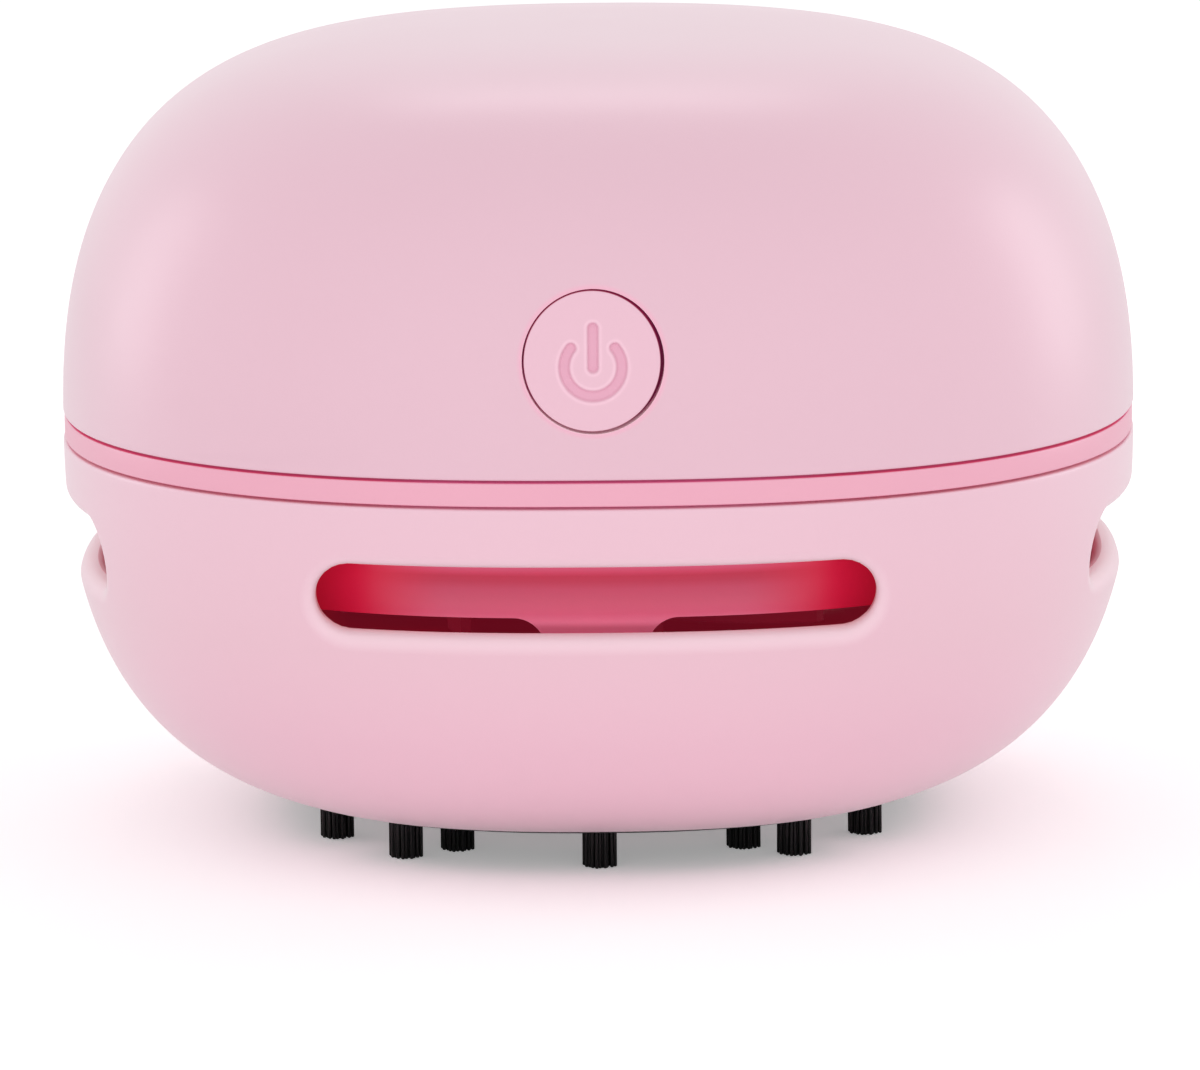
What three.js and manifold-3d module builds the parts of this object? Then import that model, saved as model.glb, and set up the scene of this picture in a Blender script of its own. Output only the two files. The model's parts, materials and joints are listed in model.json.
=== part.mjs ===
// A rechargeable desktop mini vacuum cleaner, modelled as the assembly it comes apart into.
// Millimetres, Z up. The button faces -Y and z = 0 is the plane of the bristle tips.
import * as THREE from "three";
import { mergeVertices } from "three/addons/utils/BufferGeometryUtils.js";
import Module from "manifold-3d";

const wasm = await Module();
wasm.setup();

// Housing: a rounded-square plan, with a dome above the seam and a bowl below it.
const bodyWidth = 85;
const planPower = 2.4;
const domeHeight = 30.6;
const domeWallPower = 3.87;
const domeTopPower = 2.43;
const crownRise = 0.3;
const bowlDepth = 31.2;
const bowlWallPower = 3.88;
const bowlFloorPower = 2.49;
const floorCut = 1;
const wall = 2.2;
const bristleReach = 2.3;

// Seam: a band between two hairlines.
const seamPitch = 2;
const hairline = 0.2;
const bandInset = 0.1;

// Clearances and cutting overrun.
const seatGap = 0.3;
const runGap = 0.2;
const pressGap = 0.05;
const overrun = 1;
const weld = 0.4;

// Exhaust slots, one in the middle of each side of the bowl.
const slotLength = 42.2;
const slotHeight = 5.3;
const slotDrop = 8.25;

// Intake mouth in the floor of the dust cup.
const mouthMargin = 7;
const lipWall = 1.4;
const lipHeightShare = 0.36;
const floorThickness = 2.9;

// Brush: tufts on curved strips that are set into the floor from below.
const tuftRowOutset = 1.3;
const tuftRowPitch = 4;
const stripDepth = 1.4;
const stripMargin = 0.9;
const tuftRadius = 1.4;
const strandRadius = 0.2;
const strandsPerTuft = 22;
const strandSides = 3;
const longStripSpan = THREE.MathUtils.degToRad(88);
const shortStripSpan = THREE.MathUtils.degToRad(71);
const longStripAngles = [-37.5, 0, 37.5].map(THREE.MathUtils.degToRad);
const longStripInnerAngles = [-33, 33].map(THREE.MathUtils.degToRad);
const shortStripAngles = [-30, 0, 30].map(THREE.MathUtils.degToRad);

// Fan frame: the band, a bucket that holds the motor, and four legs below it.
const skirtSetback = 6;
const frameWall = 1.8;
const bucketFloor = 2.2;
const skirtDrop = 10.5;
const spigotWall = 1.4;
const spigotDepth = 2.7;
const locatingLip = 2.2;
const legHeight = 5;
const legWidth = 7.7;
const legScrewWall = 1;
const legFillet = 2.4;

// Fan plate, its seal and the filter below it.
const plateThickness = 1.8;
const plateStep = 0.7;
const plateStepWidth = 1.4;
const plateEdgeGap = 0.9;
const plateHoleWall = 0.3;
const plateHeadGap = 0.6;
const sealThickness = 1;
const sealGap = 0.4;
const inletRadius = 10;
const filterHeight = 2.2;
const filterRim = 2.6;
const filterSocketWall = 1.2;
const filterLedge = 1.4;
const filterFloor = 0.6;
const filterRibWidth = 1.6;
const feltThickness = 1;

// Motor, shaft and impeller on the body's axis.
const motorRadius = 12.2;
const motorTopGap = 11.4;
const motorWall = 1;
const motorNoseRadius = 3.1;
const motorNoseLength = 1.9;
const endCapDepth = 3;
const endBossRadius = 3;
const endBossHeight = 1.6;
const magnetThickness = 1.5;
const magnetEndRoom = 1.5;
const magnetSpan = THREE.MathUtils.degToRad(116);
const airGap = 0.6;
const armatureInset = 1.5;
const armatureNeckRadius = 3.6;
const armaturePoleSpan = THREE.MathUtils.degToRad(92);
const armatureNeckWidth = 3.4;
const armatureShoe = 1.6;
const shaftRadius = 1;
const tabWidth = 2.8;
const tabThickness = 0.5;
const tabHeight = 4.2;
const tabReach = 7.6;
const impellerRadius = 22;
const impellerGap = 0.6;
const impellerDisc = 1;
const impellerHubRadius = 4.4;
const bladeCount = 9;
const bladeThickness = 0.9;
const bladeStart = 8.4;
const bladeSweep = THREE.MathUtils.degToRad(42);
const poleCount = 3;

// Power cell between the motor and two ribs.
const cellSideGap = 1.5;
const cellThickness = 5.4;
const cellTopGap = 6.4;
const cellTabReach = 3;
const cellCorner = 1.6;
const cellPadThickness = 2.4;
const cellPadWidth = 16;
const cellPadHeight = 14;
const cellRibWidth = 6;
const cellRibThickness = 1.6;
const cellRibHeight = 13;
const cellRibReach = 12;

// Screws: case pillars, fan plate, motor and boards.
const pillarAcrossShare = 0.7;
const pillarDeepShare = 0.553;
const pillarRadius = 2.5;
const caseScrewLength = 10;
const screwRadius = 1.1;
const screwHeadRadius = 1.9;
const screwHeadHeight = 1.2;
const padRise = 1;
const padRadius = 3.4;
const plateScrewLength = 5.4;
const motorScrewReach = 8.2;
const motorScrewLength = 2.7;
const smallScrewRadius = 0.7;
const smallHeadRadius = 1.5;
const smallHeadHeight = 0.9;
const smallScrewLength = 3.4;
const postRadius = 2;

// Button on the front of the dome and the switch behind it.
const buttonRise = 9.9;
const buttonHoleRadius = 5.3;
const buttonTravel = 0.8;
const flangeOverlap = 1.2;
const flangeThickness = 1;
const symbolRadius = 2.12;
const symbolStroke = 0.82;
const symbolDepth = 0.3;
const symbolOpening = THREE.MathUtils.degToRad(51);
const symbolBarTop = 3.35;
const symbolBarBottom = -0.45;
const symbolDrop = 0.4;
const switchWidth = 6;
const switchDepth = 3.4;
const plungerRadius = 1.7;
const plungerLength = 2.7;
const plungerBoreDepth = 2.5;
const boardThickness = 1.2;
const switchBoardWidth = 23;
const switchBoardHeight = 13;
const switchPostReach = 9;
const motorJointReach = 3.8;
const linkJointReach = 6.9;

// Charging board and socket behind the cell.
const chargeBoardWidth = 20;
const chargeBoardGap = 3.8;
const chargePostHeight = 2.7;
const chargePostReach = 7.4;
const socketWidth = 8.9;
const socketHeight = 3.2;
const socketLength = 7.4;
const socketWall = 0.4;
const socketRecess = 0.7;
const socketHoleMargin = 0.35;
const tongueWidth = 6.7;
const tongueThickness = 0.7;
const socketBack = 1.2;

// Insulated leads.
const leadRadius = 0.6;
const leadSteps = 9;

// How finely curves are drawn.
const planSides = 32;
const domeSteps = 10;
const bowlSteps = 7;
const roundSides = 24;
const screwSides = 8;
const leadSides = 6;
const slotEndSides = 5;
const bladeSteps = 5;
const mergeDistance = 1e-4;

// Heights and reaches that the pieces share.
const halfWidth = bodyWidth / 2;
const bowlHeight = bowlDepth - floorCut;
const underside = bristleReach;
const seam = underside + bowlHeight;
const rimOffset = (seamPitch + hairline) / 2;
const bandTop = seam + (seamPitch - hairline) / 2;
const bandBottom = seam - (seamPitch - hairline) / 2;
const roomTop = domeHeight - wall;
const floorReach = bowlReach(underside, 0);
const outerTuftReach = floorReach + tuftRowOutset;
const innerTuftReach = outerTuftReach - tuftRowPitch;
const mouthRadius = innerTuftReach - tuftRadius - stripMargin - mouthMargin;
const chamberFloor = underside + floorThickness;
const slotHeightZ = seam - slotDrop;
const skirtBottom = seam - skirtDrop;
const bucketTop = skirtBottom + bucketFloor;
const skirtReach = bowlReach(slotHeightZ, 0) - skirtSetback;
const skirtInside = skirtReach - frameWall;
const holeRadius = screwRadius + runGap;
const plateTop = skirtBottom - legHeight - seatGap;
const plateBottom = plateTop - plateThickness;
const plateEdge = bowlReach(plateBottom, wall) - plateEdgeGap;
const plateScrewReach = plateEdge - plateStepWidth - holeRadius - plateHoleWall;
const filterSocket = plateScrewReach - screwHeadRadius - plateHeadGap - filterSocketWall;
const filterRadius = filterSocket - seatGap;
const filterTop = plateBottom - seatGap;
const filterBottom = filterTop - filterHeight;
const lipTop = chamberFloor + lipHeightShare * (filterBottom - chamberFloor);
const impellerTop = skirtBottom - impellerGap;
const impellerBottom = plateTop + impellerGap;
const pillarX = pillarAcrossShare * skirtInside;
const pillarY = pillarDeepShare * skirtInside;
const pillarBottom = bucketTop + padRise + seatGap;
const motorBottom = bucketTop + seatGap;
const motorTop = seam + roomTop - motorTopGap;
const magnetOuter = motorRadius - motorWall - seatGap;
const magnetZ = [motorBottom + motorWall + magnetEndRoom, motorTop - endCapDepth - magnetEndRoom];
const cellFront = motorRadius + seatGap + cellPadThickness + seatGap;
const cellBack = cellFront + cellThickness;
const cellMiddle = (cellFront + cellBack) / 2;
const cellBottom = bucketTop + seatGap;
const cellTop = seam + roomTop - cellTopGap;
const cellWidth = 2 * (pillarX - pillarRadius - cellSideGap);
const ribFront = cellBack + seatGap;
const ribBack = ribFront + cellRibThickness;
const buttonZ = seam + buttonRise;
const buttonFace = -domeReach(buttonZ, 0);
const flangeRadius = buttonHoleRadius + flangeOverlap;
const collarEnd = -domeReach(buttonZ + flangeRadius, wall) + weld;
const flangeFront = collarEnd + seatGap;
const flangeBack = flangeFront + flangeThickness;
const plungerFront = flangeBack + seatGap;
const switchFront = plungerFront + buttonTravel + seatGap;
const switchBoardFront = switchFront + switchDepth + seatGap;
const switchBoardBack = switchBoardFront + boardThickness;
const chargeBoardBottom = bandTop + chargePostHeight + seatGap;
const chargeBoardTop = chargeBoardBottom + boardThickness;
const socketZ = chargeBoardTop + seatGap + socketHeight / 2;
const socketMouth = domeReach(socketZ, 0) - socketRecess;
const socketFront = socketMouth - socketLength;
const chargeBoardBack = planDepth(domeReach(chargeBoardTop, wall), chargeBoardWidth / 2) - 2 * seatGap;
const chargeBoardFront = ribBack + chargeBoardGap;
const chargePostY = (skirtInside + halfWidth - wall) / 2;

// Half width of the dome or the bowl at a height, for a surface set in by an amount.
function domeReach(z, inset) {
  const share = (z - seam) / (domeHeight - inset);
  return (halfWidth - inset) * (1 - share ** domeTopPower) ** (1 / domeWallPower);
}

function bowlReach(z, inset) {
  const share = (seam - z) / (bowlDepth - inset);
  return (halfWidth - inset) * (1 - share ** bowlFloorPower) ** (1 / bowlWallPower);
}

// How deep a rounded square of a half width is at a place to one side.
function planDepth(reach, x) {
  return (reach ** planPower - Math.abs(x) ** planPower) ** (1 / planPower);
}

// How far a rounded square of half width 1 reaches in a direction.
function planReach(angle) {
  const sum = Math.abs(Math.cos(angle)) ** planPower + Math.abs(Math.sin(angle)) ** planPower;
  return sum ** (-1 / planPower);
}

// Points on the dome's profile from the rim to the axis.
function domeProfile(inset) {
  const reach = halfWidth - inset;
  const height = domeHeight - inset;
  const start = Math.asin((rimOffset / height) ** (domeTopPower / 2));
  return Array.from({ length: domeSteps + 1 }, (_, i) => {
    const turn = start + ((Math.PI / 2 - start) * i) / domeSteps;
    const out = i === domeSteps ? 0 : reach * Math.cos(turn) ** (2 / domeWallPower);
    const crown = crownRise * (1 - out / reach) ** 2;
    return [out, seam + height * Math.sin(turn) ** (2 / domeTopPower) + crown];
  });
}

// Points on the bowl's profile from the rim down to a level.
function bowlProfile(inset, level) {
  const reach = halfWidth - inset;
  const depth = bowlDepth - inset;
  const start = Math.asin((rimOffset / depth) ** (bowlFloorPower / 2));
  const end = Math.asin(((seam - level) / depth) ** (bowlFloorPower / 2));
  return Array.from({ length: bowlSteps + 1 }, (_, i) => {
    const turn = start + ((end - start) * i) / bowlSteps;
    const down = i === bowlSteps ? seam - level : depth * Math.sin(turn) ** (2 / bowlFloorPower);
    return [reach * Math.cos(turn) ** (2 / bowlWallPower), seam - down];
  });
}

// Geometry to solid and back.
function solidOf(geometry) {
  const bare = new THREE.BufferGeometry();
  bare.setAttribute("position", geometry.attributes.position);
  bare.setIndex(geometry.index);
  const merged = mergeVertices(bare, mergeDistance);
  const corners = merged.index.array;
  const kept = [];
  for (let i = 0; i < corners.length; i += 3) {
    const [a, b, c] = corners.slice(i, i + 3);
    if (a !== b && b !== c && c !== a) kept.push(a, b, c);
  }
  const mesh = new wasm.Mesh({
    numProp: 3,
    vertProperties: Float32Array.from(merged.attributes.position.array),
    triVerts: Uint32Array.from(kept),
  });
  return new wasm.Manifold(mesh);
}

function geometryOf(solid) {
  const mesh = solid.getMesh();
  const geometry = new THREE.BufferGeometry();
  geometry.setAttribute("position", new THREE.BufferAttribute(mesh.vertProperties, 3));
  geometry.setIndex(new THREE.BufferAttribute(mesh.triVerts, 1));
  geometry.computeVertexNormals();
  return geometry;
}

const joined = (solids) => solids.reduce((whole, next) => whole.add(next));
const cutBy = (solid, cutters) => cutters.reduce((left, cutter) => left.subtract(cutter), solid);

// Turns a profile of [radius, height] points round Z. It starts and ends on the axis or closes.
function turnedGeometry(profile, sides) {
  const points = profile.map(([radius, height]) => new THREE.Vector2(radius, height));
  return new THREE.LatheGeometry(points, sides).rotateX(Math.PI / 2);
}

const turned = (profile, sides = roundSides) => solidOf(turnedGeometry(profile, sides));

// As turned, then pressed out to the rounded-square plan: round up to one radius, square past another.
function turnedSquare(profile, roundWithin = 0, squareBeyond = 0) {
  const geometry = turnedGeometry(profile, planSides);
  const place = geometry.attributes.position;
  for (let i = 0; i < place.count; i++) {
    const radius = Math.hypot(place.getX(i), place.getY(i));
    const angle = Math.atan2(place.getY(i), place.getX(i));
    const past = squareBeyond ? (radius - roundWithin) / (squareBeyond - roundWithin) : 1;
    const share = THREE.MathUtils.clamp(past, 0, 1);
    const scale = 1 + share * (planReach(angle) - 1);
    place.setXY(i, place.getX(i) * scale, place.getY(i) * scale);
  }
  return solidOf(geometry);
}

const disc = (radius, bottom, top, sides = roundSides) =>
  turned([[0, bottom], [radius, bottom], [radius, top], [0, top]], sides);

const squareDisc = (reach, bottom, top) =>
  turnedSquare([[0, bottom], [reach, bottom], [reach, top], [0, top]]);

const squareRing = (outer, inner, bottom, top) =>
  turnedSquare([[inner, bottom], [outer, bottom], [outer, top], [inner, top], [inner, bottom]]);

function box(xs, ys, zs) {
  const geometry = new THREE.BoxGeometry(xs[1] - xs[0], ys[1] - ys[0], zs[1] - zs[0]);
  geometry.translate((xs[0] + xs[1]) / 2, (ys[0] + ys[1]) / 2, (zs[0] + zs[1]) / 2);
  return solidOf(geometry);
}

function prism(shape, bottom, top, curveSegments = slotEndSides) {
  const options = { depth: top - bottom, bevelEnabled: false, curveSegments };
  return solidOf(new THREE.ExtrudeGeometry(shape, options).translate(0, 0, bottom));
}

// A prism drawn in X and Z and run along Y between two places.
function frontPrism(shape, front, back, curveSegments = slotEndSides) {
  const options = { depth: back - front, bevelEnabled: false, curveSegments };
  const geometry = new THREE.ExtrudeGeometry(shape, options).rotateX(Math.PI / 2);
  return solidOf(geometry.translate(0, back, 0));
}

// A round bar along Y.
function frontDisc(radius, front, back, x, z, sides = roundSides) {
  const geometry = turnedGeometry([[0, front], [radius, front], [radius, back], [0, back]], sides);
  return solidOf(geometry.rotateX(-Math.PI / 2).translate(x, 0, z));
}

const moved = (solid, x, y, z = 0) => solid.translate([x, y, z]);
const spun = (solid, angle) => solid.rotate([0, 0, THREE.MathUtils.radToDeg(angle)]);
const quarters = [0, 1, 2, 3].map((turn) => (turn * Math.PI) / 2);
const sides = [-1, 1];
const corners = [[-1, -1], [1, -1], [1, 1], [-1, 1]];

// A slot with half-round ends, centred on a place.
function obround(width, height, x, y) {
  const radius = height / 2;
  const reach = width / 2 - radius;
  const shape = new THREE.Shape();
  shape.absarc(x + reach, y, radius, -Math.PI / 2, Math.PI / 2);
  shape.absarc(x - reach, y, radius, Math.PI / 2, (Math.PI * 3) / 2);
  return shape;
}

// Brush strips.
const ringPoint = (reach, angle) => {
  const out = reach * planReach(angle);
  return new THREE.Vector2(out * Math.sin(angle), -out * Math.cos(angle));
};

function stripShape(inner, outer, span) {
  const steps = Math.ceil(span / ((2 * Math.PI) / planSides));
  const angles = Array.from({ length: steps + 1 }, (_, i) => -span / 2 + (span * i) / steps);
  const edge = angles.map((angle) => ringPoint(outer, angle));
  const back = angles.toReversed().map((angle) => ringPoint(inner, angle));
  return new THREE.Shape([...edge, ...back]);
}

const bowlBlank = () =>
  turnedSquare([[0, underside], ...bowlProfile(0, underside).toReversed(), [0, seam - rimOffset]]);

const domeBlank = (inset) => turnedSquare([[0, seam + rimOffset], ...domeProfile(inset)]);

const stripPlans = [
  { name: "brush_front", turn: 0, inner: innerTuftReach, span: longStripSpan },
  { name: "brush_right", turn: Math.PI / 2, inner: outerTuftReach, span: shortStripSpan },
  { name: "brush_rear", turn: Math.PI, inner: innerTuftReach, span: longStripSpan },
  { name: "brush_left", turn: -Math.PI / 2, inner: outerTuftReach, span: shortStripSpan },
];

function stripColumn(plan, gap, top) {
  const margin = tuftRadius + stripMargin + gap;
  const span = plan.span + (2 * gap) / outerTuftReach;
  const shape = stripShape(plan.inner - margin, outerTuftReach + margin, span);
  return spun(prism(shape, underside - overrun, top), plan.turn);
}

// Strands of one tuft, spread evenly over a circle, from the tips up into the strip.
function tuft(centre) {
  const golden = Math.PI * (3 - Math.sqrt(5));
  const spread = tuftRadius - strandRadius;
  const root = underside + stripDepth - weld;
  return Array.from({ length: strandsPerTuft }, (_, i) => {
    const out = spread * Math.sqrt((i + 0.5) / strandsPerTuft);
    const strand = disc(strandRadius, 0, root, strandSides);
    return moved(strand, centre.x + out * Math.cos(i * golden), centre.y + out * Math.sin(i * golden));
  });
}

function brushStrip(plan) {
  const long = plan.inner < outerTuftReach;
  const outer = (long ? longStripAngles : shortStripAngles).map((a) => ringPoint(outerTuftReach, a));
  const inner = long ? longStripInnerAngles.map((a) => ringPoint(innerTuftReach, a)) : [];
  const backing = stripColumn(plan, 0, underside + stripDepth).intersect(bowlBlank());
  const strands = [...outer, ...inner].flatMap(tuft);
  return backing.add(spun(joined(strands), plan.turn));
}

// Dust cup.
function lowerShell() {
  const lipRadius = mouthRadius + lipWall;
  const profile = [
    [mouthRadius, lipTop],
    [mouthRadius, underside],
    ...bowlProfile(0, underside).toReversed(),
    ...bowlProfile(wall, chamberFloor),
    [lipRadius, chamberFloor],
    [lipRadius, lipTop],
    [mouthRadius, lipTop],
  ];
  const bowl = turnedSquare(profile, lipRadius, floorReach - tuftRadius);
  const opening = obround(slotLength, slotHeight, 0, slotHeightZ);
  const slot = frontPrism(opening, -halfWidth - overrun, -skirtReach);
  const grooves = stripPlans.map((plan) => stripColumn(plan, seatGap, underside + stripDepth + seatGap));
  return cutBy(bowl, [...quarters.map((turn) => spun(slot, turn)), ...grooves]);
}

// Fan frame.
function frameLeg() {
  const half = legWidth / 2;
  const flare = half + legFillet;
  const bottom = skirtBottom - legHeight;
  const top = skirtBottom + weld;
  const shape = new THREE.Shape();
  shape.moveTo(-half, bottom);
  shape.lineTo(half, bottom);
  shape.lineTo(half, skirtBottom - legFillet);
  shape.absarc(flare, skirtBottom - legFillet, legFillet, Math.PI, Math.PI / 2, true);
  shape.lineTo(flare, top);
  shape.lineTo(-flare, top);
  shape.lineTo(-flare, skirtBottom);
  shape.absarc(-flare, skirtBottom - legFillet, legFillet, Math.PI / 2, 0, true);
  const leg = frontPrism(shape, -skirtReach - overrun, holeRadius + legScrewWall - plateScrewReach);
  return leg.intersect(squareDisc(skirtReach, bottom - overrun, top + overrun));
}

// The band, its spigots, the skirt and the bucket's floor, as one profile.
function bucketBlank() {
  const plugReach = halfWidth - wall - seatGap;
  const plugInside = plugReach - spigotWall;
  const bandReach = halfWidth - bandInset;
  return turnedSquare([
    [0, skirtBottom],
    [skirtReach, skirtBottom],
    [skirtReach, bandBottom],
    [plugInside, bandBottom],
    [plugInside, bandBottom - spigotDepth],
    [plugReach, bandBottom - spigotDepth],
    [plugReach, bandBottom],
    [bandReach, bandBottom],
    [bandReach, bandTop],
    [plugReach, bandTop],
    [plugReach, bandTop + locatingLip],
    [plugInside, bandTop + locatingLip],
    [plugInside, bandTop],
    [skirtInside, bandTop],
    [skirtInside, bucketTop],
    [0, bucketTop],
  ]);
}

function cellRib(side) {
  const middle = side * cellRibReach;
  const across = [middle - cellRibWidth / 2, middle + cellRibWidth / 2];
  return box(across, [ribFront, ribBack], [bucketTop - weld, bucketTop + cellRibHeight]);
}

const pillarPad = ([x, y]) =>
  moved(disc(padRadius, bucketTop - weld, bucketTop + padRise), x * pillarX, y * pillarY);

function chargePost(side, radius, bottom, top) {
  return moved(disc(radius, bottom, top, screwSides), side * chargePostReach, chargePostY);
}

// Screw holes through the bucket's floor, each with a well for the head below.
function screwWells() {
  const cases = corners.map(([x, y]) => [x * pillarX, y * pillarY]);
  const motors = sides.map((side) => [side * motorScrewReach, 0]);
  const headTop = skirtBottom + screwHeadHeight + seatGap;
  return [...cases, ...motors].flatMap(([x, y]) => [
    moved(disc(holeRadius, skirtBottom - overrun, bucketTop + padRise + overrun, screwSides), x, y),
    moved(disc(screwHeadRadius + runGap, skirtBottom - overrun, headTop, 2 * screwSides), x, y),
  ]);
}

function legHole(turn) {
  const bottom = skirtBottom - legHeight;
  const hole = disc(holeRadius, bottom - overrun, bottom + plateScrewLength, screwSides);
  return spun(moved(hole, 0, -plateScrewReach), turn);
}

function fanFrame() {
  const postTop = bandTop + chargePostHeight;
  const boreRadius = smallScrewRadius + runGap;
  const body = joined([
    bucketBlank(),
    ...quarters.map((turn) => spun(frameLeg(), turn)),
    ...sides.map(cellRib),
    ...corners.map(pillarPad),
    ...sides.map((side) => chargePost(side, postRadius, bandTop - weld, postTop)),
  ]);
  return cutBy(body, [
    disc(motorNoseRadius + runGap, skirtBottom - overrun, bucketTop + padRise + overrun),
    ...screwWells(),
    ...quarters.map(legHole),
    ...sides.map((side) => chargePost(side, boreRadius, bandTop, postTop + overrun)),
  ]);
}

// Fan plate: a stepped rim for the seal, the fan's inlet and a socket for the filter.
function fanPlate() {
  const shoulder = plateEdge - plateStepWidth;
  const socketOuter = filterSocket + filterSocketWall;
  const profile = [
    [inletRadius, plateTop],
    [inletRadius, plateBottom],
    [filterSocket, plateBottom],
    [filterSocket, filterBottom],
    [socketOuter, filterBottom],
    [socketOuter, plateBottom],
    [plateEdge, plateBottom],
    [plateEdge, plateBottom + plateStep],
    [shoulder, plateBottom + plateStep],
    [shoulder, plateTop],
    [inletRadius, plateTop],
  ];
  const plate = turnedSquare(profile, socketOuter, shoulder);
  const holes = quarters.map((turn) => {
    const hole = disc(holeRadius, plateBottom - overrun, plateTop + overrun, screwSides);
    return spun(moved(hole, 0, -plateScrewReach), turn);
  });
  return cutBy(plate, holes);
}

function plateSeal() {
  const bottom = plateBottom + plateStep + seatGap;
  const inner = plateEdge - plateStepWidth + seatGap;
  return squareRing(bowlReach(bottom, wall) - sealGap, inner, bottom, bottom + sealThickness);
}

// Filter cartridge: a shallow pan with a cross of ribs, and the felt that lies in it.
function filterFrame() {
  const inside = filterRadius - filterRim;
  const opening = inside - filterLedge;
  const profile = [
    [opening, filterBottom],
    [filterRadius, filterBottom],
    [filterRadius, filterTop],
    [inside, filterTop],
    [inside, filterBottom + filterFloor],
    [opening, filterBottom + filterFloor],
    [opening, filterBottom],
  ];
  const half = filterRibWidth / 2;
  const reach = [-opening - weld, opening + weld];
  const ribZ = [filterBottom, filterBottom + filterFloor];
  return joined([turned(profile), box(reach, [-half, half], ribZ), box([-half, half], reach, ribZ)]);
}

function filterFelt() {
  const bottom = filterBottom + filterFloor + seatGap / 2;
  return disc(filterRadius - filterRim - seatGap, bottom, bottom + feltThickness);
}

// Motor.
function motorCan() {
  const inside = motorRadius - motorWall;
  const hole = shaftRadius + pressGap;
  const nose = motorBottom - motorNoseLength;
  const can = turned([
    [hole, nose],
    [motorNoseRadius, nose],
    [motorNoseRadius, motorBottom],
    [motorRadius, motorBottom],
    [motorRadius, motorTop],
    [inside, motorTop],
    [inside, motorBottom + motorWall],
    [hole, motorBottom + motorWall],
    [hole, nose],
  ]);
  return cutBy(can, sides.map((side) => {
    const bore = disc(holeRadius, motorBottom - overrun, motorBottom + motorWall + overrun, screwSides);
    return moved(bore, side * motorScrewReach, 0);
  }));
}

function motorEndCap() {
  const rim = motorRadius - motorWall - pressGap;
  const hole = shaftRadius + pressGap;
  const bottom = motorTop - endCapDepth;
  const cap = turned([
    [hole, bottom],
    [rim, bottom],
    [rim, motorTop],
    [endBossRadius, motorTop],
    [endBossRadius, motorTop + endBossHeight],
    [hole, motorTop + endBossHeight],
    [hole, bottom],
  ]);
  return cutBy(cap, sides.map((side) => {
    const middle = side * tabReach;
    const half = tabThickness / 2 + pressGap;
    const across = tabWidth / 2 + pressGap;
    const slotZ = [motorTop - endCapDepth / 2, motorTop + overrun];
    return box([middle - half, middle + half], [-across, across], slotZ);
  }));
}

function motorTab(side) {
  const middle = side * tabReach;
  const half = tabThickness / 2;
  const zs = [motorTop - endCapDepth / 2 + pressGap, motorTop + tabHeight];
  return box([middle - half, middle + half], [-tabWidth / 2, tabWidth / 2], zs);
}

// An arc of a ring between two radii, centred on an angle.
function arcShape(inner, outer, middle, span, steps) {
  const angles = Array.from({ length: steps + 1 }, (_, i) => middle - span / 2 + (span * i) / steps);
  const at = (radius, angle) => new THREE.Vector2(radius * Math.cos(angle), radius * Math.sin(angle));
  const edge = angles.map((angle) => at(outer, angle));
  return new THREE.Shape([...edge, ...angles.toReversed().map((angle) => at(inner, angle))]);
}

function magnet(side) {
  const middle = side < 0 ? Math.PI : 0;
  const shape = arcShape(magnetOuter - magnetThickness, magnetOuter, middle, magnetSpan, slotEndSides);
  return prism(shape, ...magnetZ);
}

function armature() {
  const reach = magnetOuter - magnetThickness - airGap;
  const zs = [magnetZ[0] + armatureInset, magnetZ[1] - armatureInset];
  const half = armatureNeckWidth / 2;
  const poles = Array.from({ length: poleCount }, (_, pole) => {
    const shoe = prism(arcShape(reach - armatureShoe, reach, 0, armaturePoleSpan, slotEndSides), ...zs);
    const neck = box([0, reach - armatureShoe / 2], [-half, half], zs);
    return spun(shoe.add(neck), (pole * 2 * Math.PI) / poleCount);
  });
  const core = joined([disc(armatureNeckRadius, ...zs), ...poles]);
  return core.subtract(disc(shaftRadius + pressGap, zs[0] - overrun, zs[1] + overrun, screwSides));
}

function motorShaft() {
  const radius = shaftRadius * Math.cos(Math.PI / roundSides);
  return disc(radius, impellerBottom, motorTop + endBossHeight - seatGap, screwSides);
}

// Impeller: a disc with swept blades on its underside, towards the inlet.
function blade(bottom, top) {
  const edge = (offset) => Array.from({ length: bladeSteps + 1 }, (_, i) => {
    const share = i / bladeSteps;
    const out = bladeStart + (impellerRadius - bladeStart) * share;
    const angle = bladeSweep * share + offset / out;
    return new THREE.Vector2(out * Math.cos(angle), out * Math.sin(angle));
  });
  const outline = [...edge(-bladeThickness / 2), ...edge(bladeThickness / 2).reverse()];
  return prism(new THREE.Shape(outline), bottom, top);
}

function impeller() {
  const discBottom = impellerTop - impellerDisc;
  const oneBlade = blade(impellerBottom, discBottom + weld);
  const wheel = joined([
    disc(impellerRadius, discBottom, impellerTop),
    disc(impellerHubRadius, impellerBottom, impellerTop),
    ...Array.from({ length: bladeCount }, (_, i) => spun(oneBlade, (i * 2 * Math.PI) / bladeCount)),
  ]);
  const bore = disc(shaftRadius + pressGap, impellerBottom - overrun, impellerTop + overrun, screwSides);
  return wheel.subtract(bore);
}

// Screws point along +Z, head first, from the underside of the head at z = 0.
function screw(radius, headRadius, headHeight, length) {
  const body = turned([
    [0, -headHeight],
    [headRadius, -headHeight],
    [headRadius, 0],
    [radius, 0],
    [radius, length],
    [0, length + radius / 2],
  ], screwSides);
  const half = radius / 4;
  const reach = headRadius + overrun;
  return body.subtract(box([-reach, reach], [-half, half], [-headHeight - overrun, -headHeight / 2]));
}

const caseScrew = ([x, y]) =>
  moved(screw(screwRadius, screwHeadRadius, screwHeadHeight, caseScrewLength),
    x * pillarX, y * pillarY, skirtBottom + screwHeadHeight);

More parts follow.
